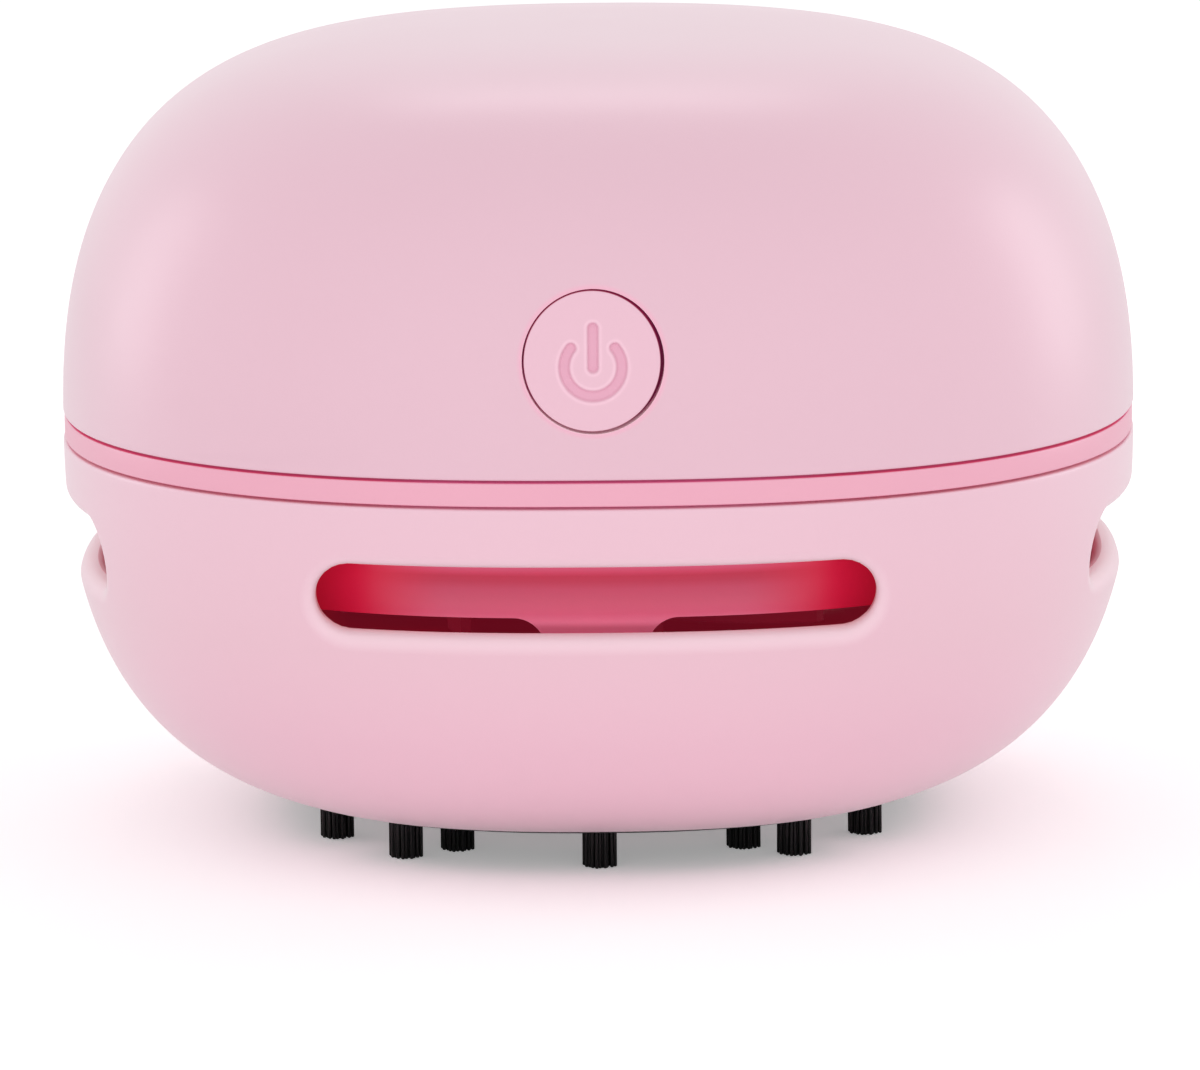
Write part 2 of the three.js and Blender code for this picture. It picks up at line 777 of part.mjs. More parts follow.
const motorScrew = (side) =>
  moved(screw(screwRadius, screwHeadRadius, screwHeadHeight, motorScrewLength),
    side * motorScrewReach, 0, skirtBottom + screwHeadHeight);

const plateScrew = (turn) =>
  spun(moved(screw(screwRadius, screwHeadRadius, screwHeadHeight, plateScrewLength - runGap),
    0, -plateScrewReach, plateBottom - seatGap / 2), turn);

const smallScrew = () => screw(smallScrewRadius, smallHeadRadius, smallHeadHeight, smallScrewLength);

const chargeScrew = (side) =>
  moved(smallScrew().rotate([180, 0, 0]),
    side * chargePostReach, chargePostY, chargeBoardTop + seatGap / 2);

const switchScrew = (side) =>
  moved(smallScrew().rotate([90, 0, 0]), side * switchPostReach, switchBoardBack + seatGap / 2, buttonZ);

// Power cell and its pad.
function roundedBoxShape(width, depth, corner) {
  const x = width / 2 - corner;
  const y = depth / 2 - corner;
  const shape = new THREE.Shape();
  shape.absarc(x, y, corner, 0, Math.PI / 2);
  shape.absarc(-x, y, corner, Math.PI / 2, Math.PI);
  shape.absarc(-x, -y, corner, Math.PI, (Math.PI * 3) / 2);
  shape.absarc(x, -y, corner, (Math.PI * 3) / 2, Math.PI * 2);
  return shape;
}

const powerCell = () =>
  moved(prism(roundedBoxShape(cellWidth, cellThickness, cellCorner), cellBottom, cellTop), 0, cellMiddle);

const cellPad = () =>
  box([-cellPadWidth / 2, cellPadWidth / 2], [motorRadius + seatGap, cellFront - seatGap],
    [motorBottom + weld, motorBottom + weld + cellPadHeight]);

// Upper shell, with its screw pillars, the two posts of the switch board and the button's guide.
function pillar([x, y], room) {
  const column = disc(pillarRadius, pillarBottom, seam + domeHeight, 2 * screwSides);
  return moved(column, x * pillarX, y * pillarY).intersect(room);
}

function pillarHole([x, y]) {
  const top = skirtBottom + screwHeadHeight + caseScrewLength + 2 * screwRadius;
  return moved(disc(holeRadius, pillarBottom - overrun, top, screwSides), x * pillarX, y * pillarY);
}

const switchPost = (side) =>
  frontDisc(postRadius, buttonFace + wall, switchBoardFront - seatGap, side * switchPostReach, buttonZ,
    2 * screwSides);

function switchPostHole(side) {
  const front = switchBoardBack - smallScrewLength - 2 * smallScrewRadius;
  return frontDisc(smallScrewRadius + runGap, front, switchBoardFront, side * switchPostReach, buttonZ,
    screwSides);
}

function socketHole() {
  const margin = 2 * socketHoleMargin;
  const outline = obround(socketWidth + margin, socketHeight + margin, 0, socketZ);
  return frontPrism(outline, halfWidth - wall - overrun, halfWidth + overrun);
}

function upperShell() {
  const dome = turnedSquare([...domeProfile(wall).toReversed(), ...domeProfile(0)]);
  const inWall = domeBlank(wall / 2);
  const bucketRoom = squareDisc(skirtInside, pillarBottom - overrun, seam + rimOffset + weld);
  const room = inWall.add(bucketRoom);
  const collar = frontDisc(flangeRadius, buttonFace + wall / 2, collarEnd, 0, buttonZ);
  const buttonHole = frontDisc(buttonHoleRadius, buttonFace - overrun, collarEnd + overrun, 0, buttonZ);
  const whole = joined([
    dome,
    collar.intersect(inWall),
    ...corners.map((corner) => pillar(corner, room)),
    ...sides.map(switchPost),
  ]);
  const holes = [...corners.map(pillarHole), ...sides.map(switchPostHole), buttonHole, socketHole()];
  return cutBy(whole, holes);
}

// Button with an engraved power symbol, the plunger behind it and the switch.
function symbolCutter() {
  const centre = buttonZ - symbolDrop;
  const half = symbolStroke / 2;
  const from = Math.PI / 2 + symbolOpening;
  const to = Math.PI / 2 - symbolOpening + 2 * Math.PI;
  const end = (angle, turn) => {
    const x = symbolRadius * Math.cos(angle);
    const z = centre + symbolRadius * Math.sin(angle);
    arc.absarc(x, z, half, turn, turn + Math.PI, false);
  };
  const arc = new THREE.Shape();
  arc.absarc(0, centre, symbolRadius + half, from, to, false);
  end(to, to);
  arc.absarc(0, centre, symbolRadius - half, to, from, true);
  end(from, from + Math.PI);
  const bar = new THREE.Shape();
  bar.absarc(0, centre + symbolBarTop - half, half, 0, Math.PI);
  bar.absarc(0, centre + symbolBarBottom + half, half, Math.PI, 2 * Math.PI);
  const depth = [buttonFace - overrun, buttonFace + symbolDepth];
  return frontPrism(arc, ...depth).add(frontPrism(bar, ...depth));
}

function buttonCap() {
  const radius = buttonHoleRadius - hairline;
  const cap = frontDisc(radius, buttonFace - overrun, flangeBack, 0, buttonZ).intersect(domeBlank(0));
  const flange = frontDisc(flangeRadius, flangeFront, flangeBack, 0, buttonZ);
  return cap.add(flange).subtract(symbolCutter());
}

const switchPlunger = () =>
  frontDisc(plungerRadius, plungerFront, plungerFront + plungerLength, 0, buttonZ, 2 * screwSides);

function switchHousing() {
  const half = switchWidth / 2;
  const ys = [switchFront, switchFront + switchDepth];
  const housing = box([-half, half], ys, [buttonZ - half, buttonZ + half]);
  const boreYs = [switchFront - overrun, switchFront + plungerBoreDepth];
  const bore = frontDisc(plungerRadius + runGap, ...boreYs, 0, buttonZ, 2 * screwSides);
  return housing.subtract(bore);
}

function switchBoard() {
  const board = box([-switchBoardWidth / 2, switchBoardWidth / 2], [switchBoardFront, switchBoardBack],
    [buttonZ - switchBoardHeight / 2, buttonZ + switchBoardHeight / 2]);
  return cutBy(board, sides.map((side) =>
    frontDisc(smallScrewRadius + runGap, switchBoardFront - overrun, switchBoardBack + overrun,
      side * switchPostReach, buttonZ, screwSides)));
}

function chargeBoard() {
  const board = box([-chargeBoardWidth / 2, chargeBoardWidth / 2],
    [chargeBoardFront, chargeBoardBack], [chargeBoardBottom, chargeBoardTop]);
  const zs = [chargeBoardBottom - overrun, chargeBoardTop + overrun];
  return cutBy(board, sides.map((side) => chargePost(side, smallScrewRadius + runGap, ...zs)));
}

function chargeSocket() {
  const shell = frontPrism(obround(socketWidth, socketHeight, 0, socketZ), socketFront, socketMouth);
  const inner = obround(socketWidth - 2 * socketWall, socketHeight - 2 * socketWall, 0, socketZ);
  const half = tongueThickness / 2;
  const tongueY = [socketFront + socketBack - weld, socketMouth - socketRecess];
  const tongue = box([-tongueWidth / 2, tongueWidth / 2], tongueY, [socketZ - half, socketZ + half]);
  return shell.subtract(frontPrism(inner, socketFront + socketBack, socketMouth + overrun)).add(tongue);
}

// Insulated leads, each a tube through points. The right-hand one of a pair mirrors the left.
function lead(side, points) {
  const route = new THREE.CatmullRomCurve3(points.map(([x, y, z]) => new THREE.Vector3(side * x, y, z)));
  const section = new THREE.Shape(Array.from({ length: leadSides }, (_, i) => {
    const angle = (i * 2 * Math.PI) / leadSides;
    return new THREE.Vector2(leadRadius * Math.cos(angle), leadRadius * Math.sin(angle));
  }));
  const options = { steps: leadSteps, extrudePath: route, bevelEnabled: false };
  return solidOf(new THREE.ExtrudeGeometry(section, options));
}

// A lead leaves each joint straight for two radii before it turns.
const leadExit = 2 * leadRadius;
const tabTop = motorTop + tabHeight + seatGap;
const leadOver = (seam + roomTop + cellTop) / 2;
const boardBehind = switchBoardBack + seatGap;
const boardTopEdge = buttonZ + switchBoardHeight / 2;
const jointZ = buttonZ + switchWidth / 2;
const beforeMotor = (boardBehind - motorRadius) / 2;
const chargeJoint = (chargeBoardFront + socketFront) / 2 - leadExit;

const motorLeadPoints = [
  [tabReach, 0, tabTop],
  [tabReach, 0, tabTop + leadExit],
  [tabReach, -motorRadius / 2, tabTop + 2 * leadExit],
  [tabReach, -motorRadius, tabTop + leadRadius],
  [(tabReach + motorJointReach) / 2, beforeMotor, boardTopEdge],
  [motorJointReach, boardBehind + 2 * leadExit, jointZ],
  [motorJointReach, boardBehind, jointZ],
];

const cellLeadPoints = [
  [cellTabReach, cellMiddle, cellTop + seatGap],
  [cellTabReach, cellMiddle, cellTop + leadExit],
  [cellTabReach, cellBack, cellTop + 2 * leadExit],
  [cellTabReach, (cellBack + chargeBoardFront) / 2, cellTop - cellCorner],
  [cellTabReach, chargeBoardFront + leadRadius, (cellTop + chargeBoardTop) / 2],
  [cellTabReach, chargeJoint, chargeBoardTop + 3 * leadExit],
  [cellTabReach, chargeJoint, chargeBoardTop + seatGap],
];

const linkLeadPoints = [
  [chargePostReach, chargeJoint, chargeBoardTop + seatGap],
  [chargePostReach, chargeJoint, chargeBoardTop + 4 * leadExit],
  [chargePostReach, (cellBack + chargeBoardFront) / 2, cellTop],
  [cellRibReach, cellMiddle, leadOver],
  [cellRibReach + 2 * leadExit, 0, leadOver - leadRadius],
  [cellRibReach + leadExit, beforeMotor, boardTopEdge + 2 * leadExit],
  [linkJointReach, boardBehind + 2 * leadExit, jointZ],
  [linkJointReach, boardBehind, jointZ],
];

// Materials.
const finish = (color, roughness, metalness = 0) =>
  new THREE.MeshStandardMaterial({ color, roughness, metalness });
const shellPink = finish(0xecc6d2, 0.32);
const framePink = finish(0xf0b0c2, 0.36);
const buttonPink = finish(0xf0c8d7, 0.34);
const nylonBlack = finish(0x111112, 0.55);
const filterGrey = finish(0xd9d9d6, 0.6);
const feltWhite = finish(0xe9e6df, 0.95);
const sealRubber = finish(0x2b2b2d, 0.8);
const canSteel = finish(0xb9bcc0, 0.35, 0.9);
const screwSteel = finish(0x9fa2a6, 0.35, 0.9);
const darkIron = finish(0x54565a, 0.6, 0.6);
const endCapWhite = finish(0xe8e6e0, 0.5);
const brassTab = finish(0xc9a25a, 0.35, 0.9);
const fanWine = finish(0x8a2440, 0.4);
const cellSilver = finish(0xc7cad0, 0.4, 0.5);
const foamBlack = finish(0x1d1d1f, 0.95);
const boardGreen = finish(0x1f6b3d, 0.5);
const switchBlack = finish(0x18181a, 0.45);
const leadRed = finish(0xc02a25, 0.45);
const leadBlack = finish(0x161617, 0.45);

const vacuum = new THREE.Group();

function add(name, solid, material) {
  const mesh = new THREE.Mesh(geometryOf(solid), material);
  mesh.name = name;
  vacuum.add(mesh);
}

const sideName = (side) => (side < 0 ? "left" : "right");
const quarterNames = ["front", "right", "rear", "left"];
const cornerNames = ["front_left", "front_right", "rear_right", "rear_left"];

add("lower_shell", lowerShell(), shellPink);
stripPlans.forEach((plan) => add(plan.name, brushStrip(plan), nylonBlack));
add("filter_frame", filterFrame(), filterGrey);
add("filter_felt", filterFelt(), feltWhite);
add("upper_shell", upperShell(), shellPink);
add("fan_frame", fanFrame(), framePink);
add("fan_plate", fanPlate(), framePink);
add("plate_seal", plateSeal(), sealRubber);
quarters.forEach((turn, i) => add("plate_screw_" + quarterNames[i], plateScrew(turn), screwSteel));
corners.forEach((corner, i) => add("case_screw_" + cornerNames[i], caseScrew(corner), screwSteel));
sides.forEach((side) => add("motor_screw_" + sideName(side), motorScrew(side), screwSteel));
add("motor_can", motorCan(), canSteel);
add("motor_end_cap", motorEndCap(), endCapWhite);
sides.forEach((side) => add("motor_tab_" + sideName(side), motorTab(side), brassTab));
sides.forEach((side) => add("motor_magnet_" + sideName(side), magnet(side), darkIron));
add("motor_armature", armature(), darkIron);
add("motor_shaft", motorShaft(), canSteel);
add("impeller", impeller(), fanWine);
add("power_cell", powerCell(), cellSilver);
add("cell_pad", cellPad(), foamBlack);
add("button_cap", buttonCap(), buttonPink);
add("switch_plunger", switchPlunger(), switchBlack);
add("switch_housing", switchHousing(), switchBlack);
add("switch_board", switchBoard(), boardGreen);
sides.forEach((side) => add("switch_screw_" + sideName(side), switchScrew(side), screwSteel));
add("charge_board", chargeBoard(), boardGreen);
add("charge_socket", chargeSocket(), canSteel);
sides.forEach((side) => add("charge_screw_" + sideName(side), chargeScrew(side), screwSteel));
sides.forEach((side) => {
  const colour = side < 0 ? leadRed : leadBlack;
  add("motor_lead_" + sideName(side), lead(side, motorLeadPoints), colour);
  add("cell_lead_" + sideName(side), lead(side, cellLeadPoints), colour);
  add("link_lead_" + sideName(side), lead(side, linkLeadPoints), colour);
});

export default vacuum;
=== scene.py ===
# %% [markdown]
# A desktop mini vacuum cleaner, dressed for its picture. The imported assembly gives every
# place and size. This file lays smooth walls, bristles and finishes over it, one step a cell.
# %% Load the assembly
import json
import math

import bpy
import numpy as np
from mathutils import Matrix, Vector


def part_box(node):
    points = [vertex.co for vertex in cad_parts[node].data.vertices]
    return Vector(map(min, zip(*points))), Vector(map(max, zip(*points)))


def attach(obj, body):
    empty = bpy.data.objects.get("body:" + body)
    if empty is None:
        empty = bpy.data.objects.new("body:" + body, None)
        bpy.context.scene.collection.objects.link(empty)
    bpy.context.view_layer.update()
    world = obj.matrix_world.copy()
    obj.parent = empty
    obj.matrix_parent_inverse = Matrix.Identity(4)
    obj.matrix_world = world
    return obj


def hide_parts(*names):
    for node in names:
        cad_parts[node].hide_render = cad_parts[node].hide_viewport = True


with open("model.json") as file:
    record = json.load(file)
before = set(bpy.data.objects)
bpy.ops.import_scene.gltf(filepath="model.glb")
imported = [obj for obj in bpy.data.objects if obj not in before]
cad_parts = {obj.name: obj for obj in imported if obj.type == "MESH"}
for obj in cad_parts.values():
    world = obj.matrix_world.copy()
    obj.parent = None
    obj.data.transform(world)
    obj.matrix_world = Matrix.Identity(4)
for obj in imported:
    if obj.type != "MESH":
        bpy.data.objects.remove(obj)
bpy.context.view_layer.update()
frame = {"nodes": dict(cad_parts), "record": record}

bpy.ops.object.select_all(action="DESELECT")

# %% [markdown]
# The sizes of the housing come from the assembly, in millimetres. The plan is a rounded square,
# |x|^2.4 + |y|^2.4 = reach^2.4, and the dome and the bowl are superellipses in height. Writing
# them as formulas keeps every smooth piece on the same walls as the solids.
# %% Sizes of the housing
mm = 0.001
half_width = 42.5
wall = 2.2
plan_power = 2.4
seam = 32.5
underside = 2.3
lower_rim = 31.4
upper_rim = 33.6
band_bottom = 31.6
band_top = 33.4
dome = {"height": 30.6, "wall_power": 3.87, "end_power": 2.43, "crown": 0.3, "up": 1}
bowl = {"height": 31.2, "wall_power": 3.88, "end_power": 2.49, "crown": 0.0, "up": -1}
print("housing", 2 * half_width, "mm wide, walls", wall, "mm thick")

# %% [markdown]
# A few functions turn the formulas into points. A wall is a curve of (reach, z) from the seam to
# the axis. The plan says how far out such a reach lies at an angle, or at a place to one side.
# %% Curves of the walls
curve_points = 3000
upright_share = 0.75


def plan_reach(angle):
    """How far the rounded square of half width 1 reaches at an angle, 0 at the front."""
    return (np.abs(np.cos(angle)) ** plan_power + np.abs(np.sin(angle)) ** plan_power) ** (-1 / plan_power)


def plan_depth(reach, x):
    """How deep the rounded square is at a place x to one side."""
    return (reach ** plan_power - np.abs(x) ** plan_power) ** (1 / plan_power)


def wall_curve(part, inset=0.0):
    """Points (reach, z) down a wall's middle, from the seam to the axis."""
    reach = half_width - inset
    height = part["height"] - inset
    rise = np.linspace(0, upright_share, curve_points)
    beside = (1 - rise ** part["end_power"]) ** (1 / part["wall_power"])
    inward = np.linspace(beside[-1], 0, curve_points)[1:]
    above = (1 - inward ** part["wall_power"]) ** (1 / part["end_power"])
    out = np.concatenate([beside, inward])
    up = np.concatenate([rise, above])
    z = seam + part["up"] * (height * up + part["crown"] * (1 - out) ** 2)
    return np.column_stack([out * reach, z])


def reach_at(curve, z):
    """How far a wall's curve reaches at a height."""
    order = np.argsort(curve[:, 1])
    return np.interp(z, curve[order, 1], curve[order, 0])


def stretch(curve, z_from, z_to, step):
    """The part of a curve between two heights, in even steps along it."""
    length = np.concatenate([[0], np.cumsum(np.hypot(*np.diff(curve, axis=0).T))])
    sign = 1 if curve[-1, 1] > curve[0, 1] else -1
    start, end = np.interp([sign * z_from, sign * z_to], sign * curve[:, 1], length)
    count = max(2, int(math.ceil(abs(end - start) / step)) + 1)
    at = np.linspace(start, end, count)
    return np.column_stack([np.interp(at, length, curve[:, 0]), np.interp(at, length, curve[:, 1])])


dome_outside = wall_curve(dome)
dome_inside = wall_curve(dome, wall)
bowl_outside = wall_curve(bowl)
bowl_inside = wall_curve(bowl, wall)
print("top of the dome at", round(dome_outside[-1, 1], 2), "mm")

# %% [markdown]
# The picture is taken from straight in front with a long lens, about 10 degrees above level.
# Its distance, height, tilt and lens were worked out beforehand by fitting the outline, the seam,
# the slots and the button, so the camera is placed by numbers and never moved again.
# %% Camera
camera_tilt = 0.1783156
camera_turn = 0.0093772
camera_roll = -0.0100934
camera_place = (5.58, -594.97, 129.10)
lens_pixels = 7541.149
frame_width = 1200
camera_data = bpy.data.cameras.new("front_camera")
camera_data.sensor_width = 36
camera_data.sensor_fit = "HORIZONTAL"
camera_data.lens = lens_pixels / frame_width * camera_data.sensor_width
camera_data.clip_start = 0.01
camera = bpy.data.objects.new("front_camera", camera_data)
bpy.context.collection.objects.link(camera)
aim = (Matrix.Rotation(camera_turn, 4, "Z") @ Matrix.Rotation(math.pi / 2 - camera_tilt, 4, "X")
       @ Matrix.Rotation(camera_roll, 4, "Z"))
camera.matrix_world = Matrix.Translation(Vector(camera_place) * mm) @ aim
bpy.context.scene.camera = camera
bpy.context.scene.view_settings.view_transform = "Standard"
print("lens", round(camera_data.lens, 1), "mm")

# %% [markdown]
# Two small helpers carry all the finishes. One turns a hex colour, as a paint program gives it,
# into the linear numbers that the renderer needs. The other adds one node of any kind, with its
# settings and links, and gives back its output, so that a material reads as a short list. The
# settings for a mix of two colours and for a soft step are used so often that they have names.
# %% Colour and node helpers
def linear(hex_colour):
    """An sRGB hex colour as linear red, green, blue and alpha."""
    parts = [int(hex_colour[i:i + 2], 16) / 255 for i in (0, 2, 4)]
    return tuple(c / 12.92 if c <= 0.04045 else ((c + 0.055) / 1.055) ** 2.4 for c in parts) + (1.0,)


def node(tree, kind, inputs=None, take=0, **settings):
    """Adds a node and gives back one of its outputs, by number or name.

    inputs feed its sockets, by number or name, from another node's output, a number or a hex
    colour. The other settings are the node's own, such as the operation of a Math node.
    """
    new = tree.nodes.new("ShaderNode" + kind)
    for name, value in settings.items():
        setattr(new, name, value)
    for name, value in (inputs or {}).items():
        if isinstance(value, bpy.types.NodeSocket):
            tree.links.new(value, new.inputs[name])
        else:
            new.inputs[name].default_value = linear(value) if isinstance(value, str) else value
    return new.outputs[take] if len(new.outputs) else None


def new_tree(owner):
    """The empty node tree of a new material or world."""
    owner.use_nodes = True
    owner.node_tree.nodes.clear()
    return owner.node_tree


colour_mix = {"take": "Result", "data_type": "RGBA"}
soft_step = {"interpolation_type": "SMOOTHSTEP"}
print("pink e8c2cf is linear", [round(c, 3) for c in linear("e8c2cf")])

# %% [markdown]
# The plain white sweep of a product picture is a pale floor and a white world. Only the rays
# that the camera, a glossy finish or clear plastic sends out see the world at full white. The
# light on the object comes from a dimmer world and four soft lamps, so nothing clips.
# %% World
world_light = 0.80
world = bpy.data.worlds.new("white_studio")
bpy.context.scene.world = world
sky = new_tree(world)
ray = node(sky, "LightPath").node.outputs
seen = node(sky, "Math", {0: ray["Is Camera Ray"], 1: ray["Is Glossy Ray"]}, operation="MAXIMUM")
seen = node(sky, "Math", {0: seen, 1: ray["Is Transmission Ray"]}, operation="MAXIMUM")
lighting = node(sky, "Background", {"Color": "ffffff", "Strength": world_light})
backdrop = node(sky, "Background", {"Color": "ffffff", "Strength": 1.0})
choice = node(sky, "MixShader", {0: seen, 1: lighting, 2: backdrop})
node(sky, "OutputWorld", {"Surface": choice})
print("the world lights the object at", world_light)

# %% [markdown]
# The floor is a matte plane just under the bristles, which keeps the object's soft shadow. A
# faint glow that only the camera sees lifts its far end to the white of the world.
# %% Floor
floor_size = 4
floor_drop = 0.05
floor_glow = 0.28
bpy.ops.mesh.primitive_plane_add(size=floor_size, location=(0, 0, 0))
floor = bpy.context.object
floor.name = "studio_floor"
floor.location.z = -floor_drop * mm
floor_paint = bpy.data.materials.new("painted_studio_floor")
tree = new_tree(floor_paint)
matte = node(tree, "BsdfDiffuse", {"Color": "f4f4f4"})
seen = node(tree, "LightPath", take="Is Camera Ray")
glow = node(tree, "Emission", {"Color": (floor_glow, floor_glow, floor_glow, 1), "Strength": seen})
sweep = node(tree, "AddShader", {0: matte, 1: glow})
node(tree, "OutputMaterial", {"Surface": sweep})
floor.data.materials.append(floor_paint)
print("floor", floor_size, "m wide,", floor_drop, "mm under the bristles")
# %% [markdown]
# A small softbox overhead draws the pale band on the crown. Two tall ones light the sides and
# give the soft upright highlights, and a wide low one fills the front without a mirror image.
# Each lamp is an area light, turned to face the object. Its place and size are in metres.
# %% Soft lamps
def softbox(name, place, width, height, watts, mirrored=True):
    """A rectangular lamp that faces the object. Where mirrored is off, gloss doesn't show it."""
    lamp = bpy.data.lights.new(name, "AREA")
    lamp.shape = "RECTANGLE"
    lamp.size = width
    lamp.size_y = height
    lamp.energy = watts
    holder = bpy.data.objects.new(name, lamp)
    bpy.context.collection.objects.link(holder)
    holder.visible_glossy = mirrored
    facing = (Vector((0, 0, seam * mm)) - Vector(place)).to_track_quat("-Z", "Y")
    holder.matrix_world = Matrix.Translation(place) @ facing.to_matrix().to_4x4()


softbox("overhead_softbox", (0, 0.40, 0.58), 0.28, 0.12, 0.26)
softbox("left_softbox", (-0.60, 0.24, 0.16), 0.25, 0.5, 0.60)
softbox("right_softbox", (0.60, 0.24, 0.16), 0.25, 0.5, 0.75)
softbox("front_softbox", (0, -0.90, 0.05), 1.2, 0.10, 2.12, mirrored=False)

# %% [markdown]
# The housing is ABS, moulded against a finely blasted steel tool. That leaves a satin skin: soft
# wide highlights, and a grain of about a tenth of a millimetre that only shows at a slant. The
# grain goes into the bump, and a slow cloud varies the roughness as handling does.
# %% Moulded plastic
cloud_size = 22
grain_size = 0.12
grain_depth = 0.02


def moulded_plastic(name, colour, deeper, roughness, tone=None, glow=None, sheen=0.0):
    """Satin moulded plastic. tone and glow, where given, work out a colour from the place."""
    material = bpy.data.materials.new(name)
    tree = new_tree(material)
    place = node(tree, "TexCoord", take="Object")
    cloud = node(tree, "TexNoise", {"Vector": place, "Scale": 1 / (cloud_size * mm), "Detail": 3.0})
    base = node(tree, "Mix", {"Factor": cloud, "A": colour, "B": deeper}, **colour_mix)
    rough = node(tree, "MapRange", {"Value": cloud, "To Min": roughness - 0.03, "To Max": roughness + 0.03})
    grit = node(tree, "TexNoise", {"Vector": place, "Scale": 1 / (grain_size * mm), "Detail": 2.0})
    bump = node(tree, "Bump", {"Height": grit, "Strength": 0.35, "Distance": grain_depth * mm})
    light = {"Emission Color": glow(tree, place), "Emission Strength": 1} if glow else {}
    surface = node(tree, "BsdfPrincipled", {
        "Base Color": tone(tree, place, base) if tone else base, "Roughness": rough, "Normal": bump,
        "IOR": 1.53, "Sheen Weight": sheen, **light})
    node(tree, "OutputMaterial", {"Surface": surface})
    return material


print("moulded plastic: grain of", grain_size, "mm, clouds of", cloud_size, "mm")

# %% [markdown]
# The pink isn't the same everywhere, so the finishes work out from the place how it changes. One
# helper measures the distance from the button, and the other lays colours at given heights.
# %% Where the pink changes
button_z = 42.4
button_hole_radius = 5.3


def beside_button(tree, place):
    """The distance from the button's axis, in metres, and 1 on the front half."""
    flat = node(tree, "VectorMath", {0: place, 1: (1, 0, 1)}, operation="MULTIPLY")
    away = node(tree, "VectorMath", {0: flat, 1: (0, 0, button_z * mm)}, "Value", operation="DISTANCE")
    depth = node(tree, "SeparateXYZ", {"Vector": place}, "Y")
    return away, node(tree, "Math", {0: depth, 1: 0.0}, operation="LESS_THAN")


def by_height(tree, place, stops):
    """A colour that changes with the height, through stops of (millimetres, hex colour)."""
    low, high = stops[0][0], stops[-1][0]
    height = node(tree, "SeparateXYZ", {"Vector": place}, "Z")
    share = node(tree, "MapRange", {"Value": height, "From Min": low * mm, "From Max": high * mm})
    colour = node(tree, "ValToRGB", {"Fac": share})
    elements = colour.node.color_ramp.elements
    for at, pink in stops[1:-1]:
        elements.new((at - low) / (high - low)).color = linear(pink)
    elements[0].color = linear(stops[0][1])
    elements[-1].color = linear(stops[-1][1])
    return colour


print("button at", button_z, "mm, its hole", 2 * button_hole_radius, "mm wide")

# %% [markdown]
# The shells' colour carries painted light and shade: a painted glow round the button's hole,
# painted light that makes the cup paler and warmer at its foot, a painted highlight on the slots'
# rounded lips and painted shade that makes the inside deeper. Attributes of the mesh mark the
# lips and the inside. A faint painted glow lights the thin edge of the button's hole and the lips.
# %% Pinks of the two shells
halo_width = 0.5
painted_halo_share = 0.5
hole_edge_width = 0.03
# painted highlight on the slots' rounded lips
lip_painted_highlight_share = 0.9
# painted shade on the shell's inner faces
inside_painted_shade_share = 0.85
# painted light: the cup a shade paler than the head, and paler and warmer still towards its foot
cup_painted_underlight = ((3, "ffcbdd"), (12, "f3c2d3"), (20, "eec2d0"), (31, "eec3d2"))


def shell_tone(tree, place, base):
    """Painted glow round the button's hole, painted light on the cup, painted highlight on the lips, painted
    shade inside.
    """
    away, front = beside_button(tree, place)
    near = node(tree, "MapRange", {"Value": away, "From Min": (button_hole_radius + halo_width) * mm,
                                   "From Max": button_hole_radius * mm}, **soft_step)
    near = node(tree, "Math", {0: near, 1: front}, operation="MULTIPLY")
    near = node(tree, "Math", {0: near, 1: painted_halo_share}, operation="MULTIPLY")
    height = node(tree, "SeparateXYZ", {"Vector": place}, "Z")
    # the painted light only lies below the seam, on the cup
    in_cup = node(tree, "Math", {0: height, 1: seam * mm}, operation="LESS_THAN")
    pinks = by_height(tree, place, cup_painted_underlight)
    base = node(tree, "Mix", {"Factor": in_cup, "A": base, "B": pinks}, **colour_mix)
    # painted glow: brighter pink round the button's hole
    base = node(tree, "Mix", {"Factor": near, "A": base, "B": "fdaac6"}, **colour_mix)
    # the paler lips are a painted highlight, the deeper inside is painted shade
    for mark, share, pink in (("lip", lip_painted_highlight_share, "fbe5ec"), ("inside", inside_painted_shade_share, "e07694")):
        there = node(tree, "Attribute", take="Fac", attribute_name=mark)
        there = node(tree, "Math", {0: there, 1: share}, operation="MULTIPLY")
        base = node(tree, "Mix", {"Factor": there, "A": base, "B": pink}, **colour_mix)
    return base


def shell_painted_glow(tree, place):
    """A painted glow at the thin edge of the button's hole, and painted light on the slots' rounded lips."""
    away, front = beside_button(tree, place)
    hole_edge = (button_hole_radius + hole_edge_width) * mm
    edge = node(tree, "Math", {0: away, 1: hole_edge}, operation="LESS_THAN")
    edge = node(tree, "Math", {0: edge, 1: front}, operation="MULTIPLY")
    # painted glow along the edge of the button's hole
    round_button = node(tree, "Mix", {"Factor": edge, "A": "000000", "B": "46102c"}, **colour_mix)
    lip = node(tree, "Attribute", take="Fac", attribute_name="lip")
    # painted light on the lips, which brightens their shade
    lip = node(tree, "Math", {0: lip, 1: 2.0}, operation="POWER")
    return node(tree, "Mix", {"Factor": lip, "A": round_button, "B": "5a4b50"}, **colour_mix)


shell_abs = moulded_plastic("satin_moulded_abs_pale_pink", "e8bfce", "e7bccb", 0.34, tone=shell_tone,
                            glow=shell_painted_glow, sheen=0.38)
print("made", shell_abs.name)

# %% [markdown]
# Only the band of the fan frame lies outside. Behind the slots the same plastic sits in shade,
# painted into its colour by height: paler on the legs, a crimson painted shadow under the slots'
# upper edge and deeper painted shade towards the corners. A faint painted glow stands in for
# light through the pink walls.
# %% Pinks of the fan frame
band_edge = (0.86, 0.90)
hairline_end = (1.3, 1.2)
corner_start = (10.5, 19)
